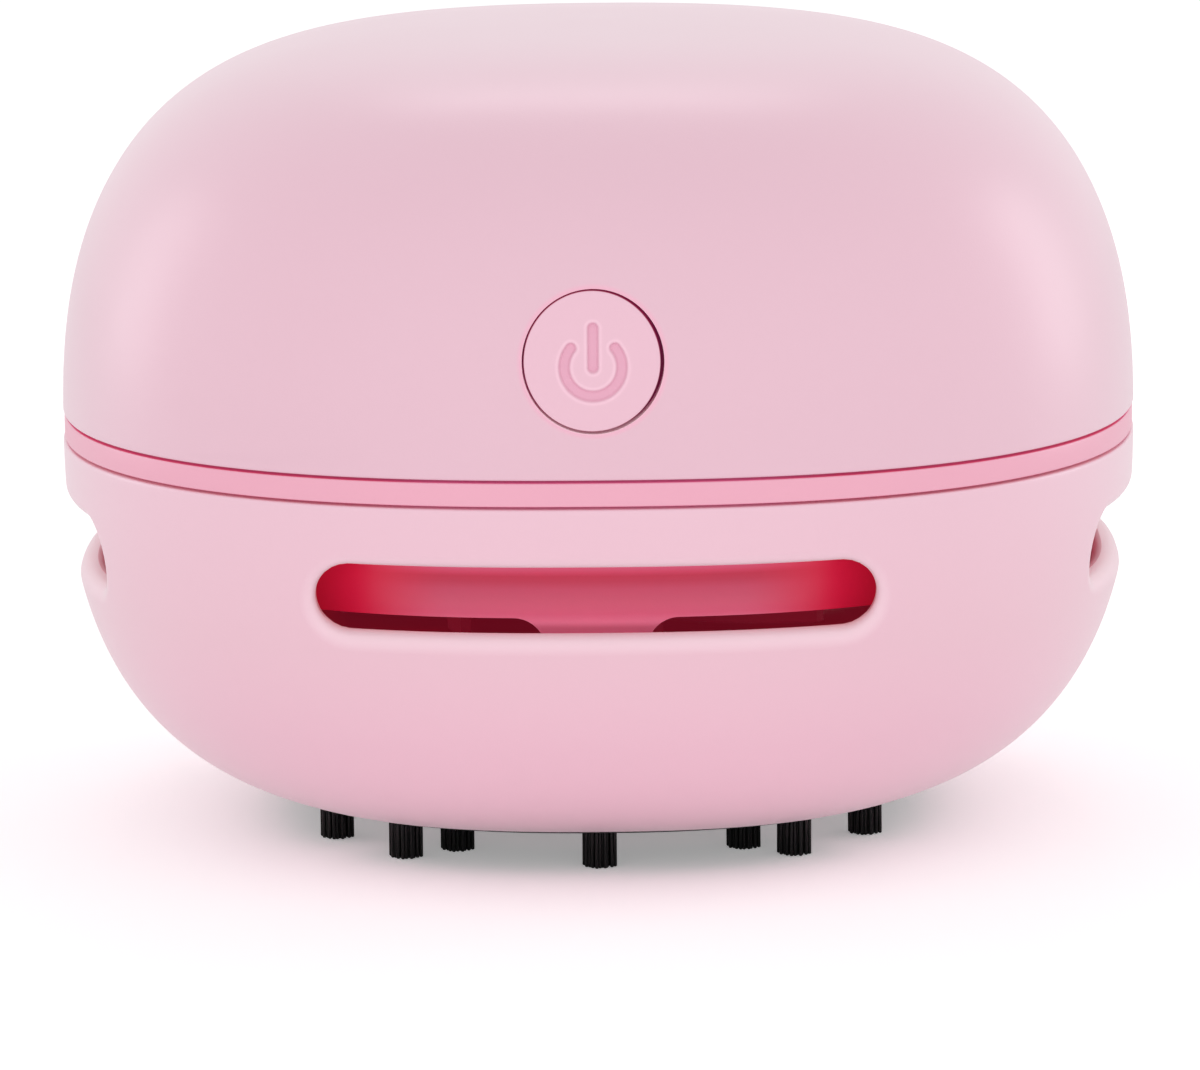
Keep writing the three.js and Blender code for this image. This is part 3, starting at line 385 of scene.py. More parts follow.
# painted shade by height, with a crimson painted shadow under the slots' upper edge
skirt_painted_shade = ((16.3, "f26a8a"), (16.8, "a01838"), (20.5, "ff8fb4"), (21.7, "fe88aa"), (22.3, "ee6c8f"),
               (23.0, "e36484"), (23.6, "da5a7a"), (24.2, "d44e71"), (24.8, "cb3558"), (25.2, "cc2c50"),
               (25.5, "e0446c"), (26.0, "ea6c94"))


def from_seam(tree, place, low, high):
    """0 at one distance above or below the seam and 1 at another, both in millimetres."""
    height = node(tree, "SeparateXYZ", {"Vector": place}, "Z")
    away = node(tree, "Math", {0: height, 1: seam * mm}, operation="SUBTRACT")
    away = node(tree, "Math", {0: away}, operation="ABSOLUTE")
    return node(tree, "MapRange", {"Value": away, "From Min": low * mm, "From Max": high * mm}, **soft_step)


def towards_corner(tree, place):
    """1 towards the housing's corners, where the skirt is nearest to the outer wall and its painted shade
    deepest.
    """
    spot = node(tree, "SeparateXYZ", {"Vector": place}).node.outputs
    sides = [node(tree, "Math", {0: spot[axis]}, operation="ABSOLUTE") for axis in ("X", "Y")]
    less = node(tree, "Math", {0: sides[0], 1: sides[1]}, operation="MINIMUM")
    low, high = corner_start
    return node(tree, "MapRange", {"Value": less, "From Min": low * mm, "From Max": high * mm}, **soft_step)


def frame_tone(tree, place, base):
    """The band is rose. What lies inside the housing, above or below it, gets a deeper pink as painted
    shade.
    """
    inside = from_seam(tree, place, *band_edge)
    corner = towards_corner(tree, place)
    deep = by_height(tree, place, skirt_painted_shade)
    # deeper painted shade towards the corners
    deep = node(tree, "Mix", {"Factor": corner, "A": deep, "B": "e81c4c"}, **colour_mix)
    return node(tree, "Mix", {"Factor": inside, "A": base, "B": deep}, **colour_mix)


def frame_painted_glow(tree, place):
    """A painted glow inside the housing and in the hairlines, so that they aren't black."""
    inside = from_seam(tree, place, *band_edge)
    hairline = from_seam(tree, place, *hairline_end)
    corner = towards_corner(tree, place)
    # painted glow: dark red inside, deeper at the corners, pinker in the hairlines
    deep = node(tree, "Mix", {"Factor": corner, "A": "3c0713", "B": "540713"}, **colour_mix)
    deep = node(tree, "Mix", {"Factor": hairline, "A": deep, "B": "602c48"}, **colour_mix)
    return node(tree, "Mix", {"Factor": inside, "A": "000000", "B": deep}, **colour_mix)


frame_abs = moulded_plastic("satin_moulded_abs_rose_pink", "f0aec2", "eeaabf", 0.36, tone=frame_tone,
                            glow=frame_painted_glow)
print("made", frame_abs.name)

# %% [markdown]
# The button is moulded from the same plastic. Its sunk symbol is a deeper pink, a painted
# highlight runs along the soft edge round the symbol, and the side of the cap, seen only in the
# gap, is painted crimson as shade, with a painted glow.
# %% Pinks of the button
def button_tone(tree, place, base):
    """A painted highlight on the soft edge round the symbol, deeper in the sunk symbol, painted crimson
    shade down the side.
    """
    for mark, pink in (("edge", "f5c8d8"), ("sunk", "e8adc3"), ("side", "9a1238")):
        there = node(tree, "Attribute", take="Fac", attribute_name=mark)
        base = node(tree, "Mix", {"Factor": there, "A": base, "B": pink}, **colour_mix)
    return base


def button_painted_glow(tree, place):
    """A painted pink glow in the narrow gap round the button."""
    side = node(tree, "Attribute", take="Fac", attribute_name="side")
    return node(tree, "Mix", {"Factor": side, "A": "000000", "B": "46102c"}, **colour_mix)


button_abs = moulded_plastic("satin_moulded_abs_button_pink", "edc1d1", "ecbece", 0.36, tone=button_tone,
                             glow=button_painted_glow)
print("made", button_abs.name)
# %% [markdown]
# Every smooth wall starts as a grid primitive whose points are laid on the wall's formula, in
# rows from one edge to the other. Grids that share an edge share its points, so a join and a
# merge by distance make one closed shell.
# %% Laying grids on the walls
columns_a_side = 64
side_angles = np.linspace(-math.pi / 4, math.pi / 4, columns_a_side + 1)
round_angles = np.linspace(-math.pi / 4, 7 * math.pi / 4, 4 * columns_a_side + 1)


def lay_grid(points):
    """A grid primitive with its points at an array of rows and columns of (x, y, z) in mm."""
    rows, columns = points.shape[:2]
    bpy.ops.mesh.primitive_grid_add(x_subdivisions=columns - 1, y_subdivisions=rows - 1, size=1)
    grid = bpy.context.object
    grid.data.vertices.foreach_set("co", (points * mm).astype(np.float32).ravel())
    grid.data.update()
    return grid


def paint(piece, name, values):
    """A value at each point, for the material to read."""
    attribute = piece.data.attributes.new(name, "FLOAT", "POINT")
    attribute.data.foreach_set("value", np.asarray(values, np.float32).ravel())


def on_plan(reach, angle, z, square=1.0):
    """The place at a reach and an angle on the rounded square, or on a circle where square is 0."""
    out = reach * (1 + square * (plan_reach(angle) - 1))
    return np.stack(np.broadcast_arrays(out * np.sin(angle), -out * np.cos(angle), z), axis=-1)


print("grids of", columns_a_side, "columns a side")

# %% [markdown]
# A plain wall is a profile of (reach, z) carried all the way round the plan. Where a wall has
# holes it is laid in quarters, each made at the front and turned to its side.
# %% Rings and quarters
def rings(profile, squares=None, inside=None):
    """A grid that runs all the way round, with a row for each (reach, z) of a profile."""
    profile = np.asarray(profile, float)
    squares = np.ones(len(profile)) if squares is None else np.asarray(squares, float)
    grid = lay_grid(on_plan(profile[:, :1], round_angles[None, :], profile[:, 1:], squares[:, None]))
    if inside is not None:
        paint(grid, "inside", np.repeat(inside, len(round_angles)))
    return grid


def quarter_turn(points, turn):
    """Points turned anticlockwise by a number of quarter turns, seen from above."""
    for _ in range(turn):
        points = np.stack([-points[..., 1], points[..., 0], points[..., 2]], axis=-1)
    return points


def plain_side(curve, heights, turn, inside):
    """One quarter of a wall between two heights, without a hole. inside is 1 for its inner face."""
    z = np.linspace(*heights, columns_a_side + 1)[:, None]
    grid = lay_grid(quarter_turn(on_plan(reach_at(curve, z), side_angles[None, :], z), turn))
    paint(grid, "inside", np.full((columns_a_side + 1) ** 2, inside))
    return grid


print("rings of", len(round_angles) - 1, "points")

# %% [markdown]
# Every piece ends the same way. Its grids are joined, the points they share are merged, and its
# faces are shaded smooth up to an angle. It is then given its finish and the body that carries
# it, and the solids it stands for are hidden.
# %% Finishing a piece
merge_distance = 0.002


def finish_piece(grids, name, material, body, replaced, sharp=35, recalc=True):
    """Joins grids into one closed piece, smooths it, gives it its finish and body, and hides the solids it
    replaces.
    """
    bpy.ops.object.select_all(action="DESELECT")
    for grid in grids:
        grid.select_set(True)
    bpy.context.view_layer.objects.active = grids[0]
    if len(grids) > 1:
        bpy.ops.object.join()
    piece = bpy.context.object
    piece.name = name
    bpy.ops.object.mode_set(mode="EDIT")
    bpy.ops.mesh.select_all(action="SELECT")
    bpy.ops.mesh.remove_doubles(threshold=merge_distance * mm)
    if recalc:
        bpy.ops.mesh.normals_make_consistent(inside=False)
    bpy.ops.object.mode_set(mode="OBJECT")
    bpy.ops.object.shade_smooth_by_angle(angle=math.radians(sharp))
    piece.data.materials.clear()
    piece.data.materials.append(material)
    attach(piece, body)
    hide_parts(*replaced)
    bpy.ops.object.select_all(action="DESELECT")
    print(f"{name}: {len(piece.data.polygons)} faces")
    return piece


print("points closer than", merge_distance, "mm become one")

# %% [markdown]
# A slot or a button hole needs clean, softly rounded lips, so its quarter of the wall is one
# sheet of loops round the hole. The hole's outline and the quarter's border are walked in step,
# with as many points each, so that loops can be laid between them.
# %% Outline of a hole
arc_points = 241
tiny = 1e-9


def hole_outline(width, height, centre_z):
    """Points round a slot with half-round ends, and the way outwards at each, in (x, z)."""
    radius = height / 2
    reach = width / 2 - radius
    quarter = math.radians(45)
    parts = []
    for first in (-3 * quarter, -quarter, quarter, 3 * quarter):
        arc = np.linspace(first, first + 2 * quarter, arc_points)
        side = np.where(np.cos(arc) > tiny, 1.0, np.where(np.cos(arc) < -tiny, -1.0, 0.0))
        middle = np.isclose(np.abs(np.cos(arc)), 0, atol=tiny)
        xs, zs, ax, az = [], [], [], []
        for turn, sign, between in zip(arc, side, middle):
            ends = (-1, 1) if first < 0 else (1, -1)
            for end in (ends if between else (sign,)):
                xs.append(end * reach + radius * math.cos(turn))
                zs.append(radius * math.sin(turn))
                ax.append(math.cos(turn))
                az.append(math.sin(turn))
        line = np.column_stack([xs, zs, ax, az])
        length = np.concatenate([[0], np.cumsum(np.hypot(*np.diff(line[:, :2], axis=0).T))])
        at = np.linspace(0, length[-1], columns_a_side + 1)[:-1]
        parts.append(np.column_stack([np.interp(at, length, line[:, k]) for k in range(4)]))
    loop = np.vstack(parts)
    loop = np.vstack([loop, loop[:1]])
    loop[:, 1] += centre_z
    return loop[:, :2], loop[:, 2:]


def side_border(heights):
    """The border of a quarter of the wall as (angle, z), in step with hole_outline."""
    low, high = heights
    z = np.linspace(low, high, columns_a_side + 1)
    start, end = side_angles[0], side_angles[-1]
    runs = [np.column_stack([side_angles, np.full_like(side_angles, low)]),
            np.column_stack([np.full_like(z, end), z]),
            np.column_stack([side_angles[::-1], np.full_like(side_angles, high)]),
            np.column_stack([np.full_like(z, start), z[::-1]])]
    border = np.vstack([run[:-1] for run in runs])
    return np.vstack([border, border[:1]])


print("loops of", 4 * columns_a_side, "points round each hole")

# %% [markdown]
# Outwards the loops spread to the quarter's edges. Inwards they turn over the rounded lip, run
# through the wall and spread again on its inside. Attributes mark the lip and the inner face,
# where the shell's colour gets a painted highlight and painted shade.
# %% A wall with a hole
outer_loops = 26
spread_power = 1.25
margins = (0.12, 0.3, 0.55, 0.9)
lip_rows = 9
inner_lip_rows = 6
inner_loops = 10


def spread(curve, loop, heights, steps):
    """Loops from a loop in (x, z) on a wall out to the border of its quarter."""
    depth = plan_depth(reach_at(curve, loop[:, 1]), loop[:, 0])
    start = np.column_stack([np.arctan2(loop[:, 0], depth), loop[:, 1]])
    border = side_border(heights)
    share = np.linspace(0, 1, steps + 1)[1:, None, None] ** spread_power
    flat = start + share * (border - start)
    return on_plan(reach_at(curve, flat[..., 1]), flat[..., 0], flat[..., 1])


def holed_side(outside, inside, hole, heights, lip, turn, inner_lip=0.05, top_share=1.0):
    """A quarter of the wall, both faces of it, round a hole with a rounded lip on each.

    The outer lip's radius is lip below the hole, and top_share of it above the hole.

    Its attribute lip grows over the outer lip, to 1 below the hole and to a half above it. Its
    attribute inside is 1 on the inner face and its lip, and inside the hole except along its foot.
    """
    outline, way = hole_outline(*hole)
    lips = lip * (1 - (1 - top_share) * (1 + way[:, 1]) / 2)

    def loop_on(curve, out, depth):
        flat = outline + np.broadcast_to(out, len(outline))[:, None] * way
        y = -plan_depth(reach_at(curve, flat[:, 1]), flat[:, 0]) + depth
        return np.column_stack([flat[:, 0], y, flat[:, 1]])

    far = outline + (lips + margins[-1])[:, None] * way
    rows = list(spread(outside, far, heights, outer_loops)[::-1])
    rows += [loop_on(outside, lips + margin, 0) for margin in reversed(margins)]
    start = len(rows)
    turns = np.linspace(math.pi / 2, 0, lip_rows)
    rows += [loop_on(outside, lips * (1 - math.cos(t)), lips * (1 - math.sin(t))) for t in turns]
    through = len(rows)
    outer_end, inner_start = rows[-1], loop_on(inside, 0, -inner_lip)
    rows += [outer_end + share * (inner_start - outer_end) for share in (0.33, 0.67)]
    inner = len(rows)
    rows += [loop_on(inside, inner_lip * (1 - math.cos(t)), -inner_lip * (1 - math.sin(t)))
             for t in np.linspace(0, math.pi / 2, inner_lip_rows)]
    rows += list(spread(inside, outline + inner_lip * way, heights, inner_loops))
    on_lip = np.zeros((len(rows), len(outline)))
    on_lip[start:through] = np.linspace(0, 1, through - start)[:, None]
    on_lip[through:inner] = 1
    in_wall = np.zeros_like(on_lip)
    in_wall[through - 1:inner] = np.clip((way[:, 1] + 0.75) / 0.3, 0, 1)
    in_wall[inner:] = 1
    grid = lay_grid(quarter_turn(np.array(rows), turn))
    # lip feeds a painted highlight, inside a painted shade, in the shell's colour
    paint(grid, "lip", on_lip * (1 - in_wall) * (0.75 - 0.25 * way[:, 1]))
    paint(grid, "inside", in_wall)
    return grid


print("each lip turns over in", lip_rows - 1, "steps")

# %% [markdown]
# The dust cup is one thin shell: a rim that meets the band, walls with an air slot in each side,
# a flat floor, and a low lip round the intake. Its wall is laid as four holed quarters, and rings
# close it above and below. The upper rings run over the rim, whose outer corner is a small arc.
# %% Rim of the dust cup
def rounded(corner, before, after, radius, steps=5):
    """A profile's corner turned into a small arc. before and after are unit ways in (reach, z)."""
    corner, before, after = (np.asarray(v, float) for v in (corner, before, after))
    centre = corner - radius * before + radius * after
    angles = np.linspace(0, math.pi / 2, steps + 1)
    return [centre - radius * after * math.cos(a) + radius * before * math.sin(a) for a in angles]


rim_radius = 0.22
rim_bevel = 0.12
cup_heights = (15.0, lower_rim - 0.5)
rim_out = reach_at(bowl_outside, lower_rim)
rim_in = reach_at(bowl_inside, lower_rim)
top = [*stretch(bowl_inside, cup_heights[1], lower_rim - rim_bevel, 0.2), (rim_in + rim_bevel, lower_rim)]
top_inside = [1.0] * (len(top) - 1) + [0.0]
top += rounded((rim_out, lower_rim), (1, 0), (0, -1), rim_radius)
top += [(reach_at(bowl_outside, cup_heights[1]), cup_heights[1])]
top_inside += [0.0] * (len(top) - len(top_inside))
print("rim of the cup:", len(top), "rings")

# %% [markdown]
# The lower rings run down the outside, across the flat floor, over the lip of the intake and
# back up the inside. The intake is round, so in the floor the plan turns from square to round.
# %% Floor and intake of the dust cup
chamber_floor = 5.2
mouth_radius = 10.0
mouth_lip = 11.4
lip_top = 7.8
mouth_foot_radius = 0.4
mouth_top_radius = 0.3
square_reach = 20.6
flat_reach = reach_at(bowl_outside, underside)


def squareness(reach):
    """0 at the intake's lip, where the plan is round, and 1 where it is the rounded square."""
    return list(np.clip((reach - mouth_lip) / (square_reach - mouth_lip), 0, 1))


below = list(stretch(bowl_outside, cup_heights[0], underside, 0.7))
squares = [1.0] * len(below)
blend = np.linspace(flat_reach, mouth_lip, 9)[1:]
below += [(r, underside) for r in blend]
squares += squareness(blend)
mouth = rounded((mouth_radius, underside), (-1, 0), (0, 1), mouth_foot_radius)
mouth += rounded((mouth_radius, lip_top), (0, 1), (1, 0), mouth_top_radius)
mouth += rounded((mouth_lip, lip_top), (1, 0), (0, -1), mouth_top_radius)
mouth += [(mouth_lip, chamber_floor)]
below += mouth
squares += [0.0] * len(mouth)
inner_floor = stretch(bowl_inside, chamber_floor, cup_heights[0], 1.0)
across = np.linspace(mouth_lip, inner_floor[0, 0], 9)[1:-1]
below += [(r, chamber_floor) for r in across] + list(inner_floor)
squares += squareness(across) + [1.0] * len(inner_floor)
below_inside = [0.0] * (len(below) - len(inner_floor))
below_inside += list(np.clip((inner_floor[:, 1] - chamber_floor) / (cup_heights[0] - chamber_floor), 0, 1))
print("floor and intake:", len(below), "rings")

# %% [markdown]
# Each side of the cup has one slot. Its lip is wide below and narrower above, as the light on
# the real one shows. The four quarters and the rings are then joined into the shell.
# %% Dust cup
lip_radius = 1.5
lip_top_share = 0.6
inner_lip_radius = 0.6
slot = (42.2, 5.3, 24.25)
grids = [rings(top, inside=top_inside), rings(below, squares, below_inside)]
grids += [holed_side(bowl_outside, bowl_inside, slot, cup_heights, lip_radius, turn, inner_lip_radius,
                     lip_top_share) for turn in range(4)]
cup = finish_piece(grids, "dust_cup_shell", shell_abs, "dust_cup", ["lower_shell"])

# %% [markdown]
# The upper shell is a dome of the same wall. Its front quarter has the round hole of the button,
# its rear quarter the charging port, and the other two are plain. Rings close the crown above
# them, down to a single point on each face.
# %% Upper shell
button_hole = (2 * button_hole_radius, 2 * button_hole_radius, button_z)
button_hole_lip = 0.08
port_hole = (9.6, 3.9, 39.6)
port_hole_lip = 0.35
dome_heights = (upper_rim + 0.5, 53.0)
rim_out = reach_at(dome_outside, upper_rim)
rim_in = reach_at(dome_inside, upper_rim)
rim = [*stretch(dome_inside, upper_rim + rim_bevel, dome_heights[0], 0.2)[::-1],
       (rim_in + rim_bevel, upper_rim)]
rim_inside = [1.0] * (len(rim) - 1) + [0.0]
rim += rounded((rim_out, upper_rim), (1, 0), (0, 1), rim_radius)
rim += [(reach_at(dome_outside, dome_heights[0]), dome_heights[0])]
rim_inside += [0.0] * (len(rim) - len(rim_inside))
grids = [rings(rim, inside=rim_inside)]
for curve, inside in ((dome_outside, 0.0), (dome_inside, 1.0)):
    crown = stretch(curve, dome_heights[1], curve[-1, 1], 0.7)
    crown[-1, 0] = 0
    grids.append(rings(crown, inside=[inside] * len(crown)))
    grids += [plain_side(curve, dome_heights, turn, inside) for turn in (1, 3)]
grids.append(holed_side(dome_outside, dome_inside, button_hole, dome_heights, button_hole_lip, 0))
grids.append(holed_side(dome_outside, dome_inside, port_hole, dome_heights, port_hole_lip, 2))
finish_piece(grids, "upper_shell_dome", shell_abs, "head", ["upper_shell"])

# %% [markdown]
# The fan frame shows as the rose-pink band between the two hairlines, and through the slots as
# the wall behind them. Its section runs along the bucket's foot and up the skirt, round the
# spigot below the band, over the band, and round the spigot above it.
# %% Band and skirt of the fan frame
skirt_inset = 6
skirt_wall = 1.8
skirt_bottom = 22.0
bucket_top = 24.2
spigot_gap = 0.3
spigot_wall = 1.4
spigot_below = 2.7
spigot_above = 2.2
band_inset = 0.1
band_radius = 0.15
skirt_reach = reach_at(bowl_outside, slot[2]) - skirt_inset
skirt_inside = skirt_reach - skirt_wall
spigot_reach = half_width - wall - spigot_gap
spigot_inside = spigot_reach - spigot_wall
band_reach = half_width - band_inset
profile = [(reach, skirt_bottom) for reach in (0, 8, 20, skirt_reach)]
profile += [(skirt_reach, z) for z in np.linspace(skirt_bottom, band_bottom, 8)[1:]]
profile += [(spigot_inside, band_bottom), (spigot_inside, band_bottom - spigot_below)]
profile += [(spigot_reach, band_bottom - spigot_below), (spigot_reach, band_bottom)]
profile += rounded((band_reach, band_bottom), (1, 0), (0, 1), band_radius)
profile += rounded((band_reach, band_top), (0, 1), (-1, 0), band_radius)
profile += [(spigot_reach, band_top), (spigot_reach, band_top + spigot_above)]
profile += [(spigot_inside, band_top + spigot_above), (spigot_inside, band_top)]
profile += [(skirt_inside, band_top), (skirt_inside, bucket_top), (0, bucket_top)]
grids = [rings(profile)]
print("band and skirt:", len(profile), "rings")

# %% [markdown]
# A leg stands in the middle of each side, between the skirt and the fan plate. The legs flare
# into the skirt, so each is a grid of level sections whose width grows along a quarter circle.
# %% Legs of the fan frame
leg_half = 3.85
leg_fillet = 2.4
leg_length = 5
leg_bottom = skirt_bottom - leg_length
leg_back = 30.7
straight = np.linspace(leg_bottom, skirt_bottom - leg_fillet, 4)
curl = np.linspace(0, math.pi / 2, 17)[1:]
levels = [(z, leg_half) for z in straight]
levels += [(skirt_bottom - leg_fillet + leg_fillet * math.sin(a), leg_half + leg_fillet * (1 - math.cos(a)))
           for a in curl]
for turn in range(4):
    rows = []
    for z, half in [(leg_bottom, 0.0)] + levels + [(skirt_bottom, 0.0)]:
        x = np.linspace(-half, half, 25)
        front = np.column_stack([x, -plan_depth(skirt_reach, x), np.full_like(x, z)])
        back = np.column_stack([x[::-1], np.full_like(x, -leg_back), np.full_like(x, z)])
        if half == 0:
            front[:, 1] = back[:, 1] = -(skirt_reach + leg_back) / 2
        rows.append(np.vstack([front, back, front[:1]]))
    grids.append(lay_grid(quarter_turn(np.array(rows), turn)))
finish_piece(grids, "fan_frame_band_and_legs", frame_abs, "head", ["fan_frame"])

# %% [markdown]
# The button is a disc cut from the dome's own curve. Its face is a fine grid pressed into a
# circle. Towards its rim it is narrowed, shifted and raised by a few hundredths of a millimetre,
# because the gap round the real one isn't even.
# %% Plan of the button
button_radius = 5.15
button_narrowing = 0.05
button_shift = -0.075
button_rise = 0.045
face_points = 220
even = np.linspace(-1, 1, face_points + 1)
u, v = np.meshgrid(even, even)
larger = np.maximum(np.abs(u), np.abs(v))
scale = np.where(larger > 0, larger / np.maximum(np.hypot(u, v), 1e-12), 0)
x = u * scale * (button_radius - button_narrowing * larger ** 4) + button_shift * larger ** 4
z = v * scale * button_radius + button_rise * larger ** 4
print("button face:", face_points ** 2, "faces")

# %% [markdown]
# The standby symbol, an open ring and a bar, is sunk a third of a millimetre into the face. Each
# point's depth comes from its distance to the two strokes, which gives soft moulded edges.
# %% Symbol of the button
symbol_radius = 2.15
half_stroke = 0.36
bar_span = (-0.40, 3.19)
symbol_depth = 0.3
symbol_drop = 0.35
soft_width = 0.26
painted_highlight_at = 0.22
painted_highlight_width = 0.10
opening = math.radians(50)
up = z + symbol_drop
arc_end = np.hypot(np.abs(x) - symbol_radius * math.sin(opening), up - symbol_radius * math.cos(opening))
to_arc = np.where(np.abs(np.arctan2(x, up)) > opening, np.abs(np.hypot(x, up) - symbol_radius), arc_end)
to_bar = np.hypot(x, up - np.clip(up, bar_span[0] + half_stroke, bar_span[1] - half_stroke))
edge = np.minimum(to_arc, to_bar) - half_stroke
soft = np.clip(0.5 - edge / soft_width, 0, 1)
sunk = soft * soft * (3 - 2 * soft)
# a painted highlight along the soft edge round the strokes
painted_edge_highlight = np.exp(-((edge - painted_highlight_at) / painted_highlight_width) ** 2)
print("symbol sunk by", symbol_depth, "mm, strokes", 2 * half_stroke, "mm wide")

# %% [markdown]
# The face is laid on the dome's curve with a small round along its rim. Its border is extruded
# back and outwards to the flange that keeps the cap in its hole, and closed behind.
# %% Button cap
cap_edge_radius = 0.1
flange_thickness = 1.0
_, cap_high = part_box("button_cap")
flange_radius = cap_high[0] / mm
flange_back = -cap_high[1] / mm
flange_front = flange_back + flange_thickness
past_edge = np.clip(larger * button_radius - (button_radius - cap_edge_radius), 0, cap_edge_radius)
rounding = cap_edge_radius - np.sqrt(cap_edge_radius ** 2 - past_edge ** 2)
y = -plan_depth(reach_at(dome_outside, z + button_z), x) + symbol_depth * sunk + rounding
face = lay_grid(np.stack([x, y, z + button_z], axis=-1))
paint(face, "sunk", sunk)
# side marks the cap's side for painted crimson shade and a painted glow
paint(face, "side", larger > 0.999)
# edge carries the painted highlight round the symbol
paint(face, "edge", painted_edge_highlight)
bpy.ops.object.mode_set(mode="EDIT")
bpy.ops.mesh.select_all(action="SELECT")
bpy.ops.mesh.region_to_loop()
axis_at = (0, -flange_front * mm, button_z * mm)
bpy.ops.mesh.extrude_region_move(TRANSFORM_OT_translate={"value": (0, 0, 0)})
bpy.ops.transform.resize(value=(1, 0, 1), center_override=axis_at)
bpy.ops.mesh.extrude_region_move(TRANSFORM_OT_translate={"value": (0, 0, 0)})
grown = flange_radius / button_radius
bpy.ops.transform.resize(value=(grown, 1, grown), center_override=axis_at)
bpy.ops.mesh.extrude_region_move(TRANSFORM_OT_translate={"value": (0, (flange_front - flange_back) * mm, 0)})
bpy.ops.mesh.fill()
bpy.ops.object.mode_set(mode="OBJECT")
finish_piece([face], "power_button_cap", button_abs, "button", ["button_cap"], sharp=50)

# %% [markdown]
# Four brush strips are pressed into grooves in the cup's floor. A strip's backing follows the
# bowl underneath, so its lower face is laid on the bowl's curve and its top is flat. With a gap
# round it and a deeper foot, the same shape serves to cut the groove.
# %% Backings of the brush strips
row_outset = 1.3
row_spacing = 4
strip_margin = 2.3
backing_height = 1.4
cutter_foot = 2.5
long_span = 88
short_span = 71
outer_row = flat_reach + row_outset
inner_row = outer_row - row_spacing
strip_top = underside + backing_height
strip_plans = {
    "front": (0, inner_row, long_span),
    "right": (1, outer_row, short_span),
    "rear": (2, inner_row, long_span),
    "left": (3, outer_row, short_span)}


def strip_body(plan, gap=0.0):
    """A strip's backing, or its groove where gap is the clearance round it."""
    turn, inner, span = plan
    half = math.radians(span) / 2 + gap / outer_row
    reaches = np.linspace(inner - strip_margin - gap, outer_row + strip_margin + gap, 9)
    order = np.argsort(bowl_outside[:, 0])
    low = np.interp(reaches, bowl_outside[order, 0], bowl_outside[order, 1])
    low = np.where(reaches <= flat_reach, underside, low) - (cutter_foot if gap else 0)
    section = [*zip(reaches, low), (reaches[-1], strip_top + gap), (reaches[0], strip_top + gap)]
    section = np.array(section + [(reaches[0], low[0])])
    angles = np.linspace(-half, half, 49)
    grid = lay_grid(quarter_turn(on_plan(section[:, :1], angles[None, :], section[:, 1:]), turn))
    bpy.ops.object.mode_set(mode="EDIT")
    bpy.ops.mesh.select_all(action="SELECT")
    bpy.ops.mesh.remove_doubles(threshold=merge_distance * mm)
    bpy.ops.mesh.select_all(action="DESELECT")
    bpy.ops.mesh.select_non_manifold()
    bpy.ops.mesh.fill_holes(sides=0)
    bpy.ops.mesh.select_all(action="SELECT")
    bpy.ops.mesh.normals_make_consistent(inside=False)
    bpy.ops.object.mode_set(mode="OBJECT")
    return grid


print("strips:", ", ".join(strip_plans))

# %% [markdown]
# Boolean modifiers take the grooves out of the cup. They leave faces with many corners, which
# are split into triangles, and slivers along the cut, which are dissolved.
# %% Grooves for the strips
groove_gap = 0.3
sliver_size = 0.001


def cut(piece, cutters):
    """Takes the cutters' shapes out of a piece, deletes them and clears the slivers that this leaves."""
    for cutter in cutters:
        bpy.ops.object.select_all(action="DESELECT")
        bpy.context.view_layer.objects.active = piece
        modifier = piece.modifiers.new("cut", "BOOLEAN")
        modifier.object = cutter
        modifier.solver = "EXACT"
        bpy.ops.object.modifier_apply(modifier=modifier.name)
        bpy.data.objects.remove(cutter)
    bpy.ops.object.mode_set(mode="EDIT")
    bpy.ops.mesh.select_face_by_sides(number=4, type="GREATER", extend=False)
    bpy.ops.mesh.quads_convert_to_tris(ngon_method="BEAUTY")
    bpy.ops.mesh.select_all(action="SELECT")
    bpy.ops.mesh.dissolve_degenerate(threshold=sliver_size * mm)
    bpy.ops.object.mode_set(mode="OBJECT")


cut(cup, [strip_body(plan, gap=groove_gap) for plan in strip_plans.values()])
print("cup with grooves:", len(cup.data.polygons), "faces")

# %% [markdown]
# A tuft is a bunch of black nylon strands, folded into a drilled hole and cut level. One strand
# is a slim six-sided bar that narrows at its end.
# %% A strand
strand_radius = 0.15
strand_sides = 6
tip_length = 0.06
tip_size = 0.6


def strand(x, y, lean_x, lean_y, tip, root):
    """Points and faces of one strand, from its root down to its tip."""
    points, faces = [], []
    for size, z in ((1.0, root), (1.0, tip + tip_length), (tip_size, tip)):
        for k in range(strand_sides):
            turn = 2 * math.pi * k / strand_sides
            points.append((x + lean_x * (root - z) + strand_radius * size * math.cos(turn),
                           y + lean_y * (root - z) + strand_radius * size * math.sin(turn), z))
    for row in range(2):
        for k in range(strand_sides):
            k2 = (k + 1) % strand_sides
            a, b = row * strand_sides + k, row * strand_sides + k2
            faces.append((a, a + strand_sides, b + strand_sides, b))
    faces.append(tuple(2 * strand_sides + k for k in reversed(range(strand_sides))))
    faces.append(tuple(range(strand_sides)))
    return points, faces


print("a strand is", 2 * strand_radius, "mm thick")

# %% [markdown]
# The strand is copied on a spiral that fills a circle evenly. Each copy leans a little and ends a
# little higher or lower, because real strands never stand quite straight.
# %% A tuft
tuft_radius = 1.4
strands_a_tuft = 52
root_depth = 0.4
lean_spread = 0.006
tip_spread = 0.01
chance = np.random.default_rng(7)


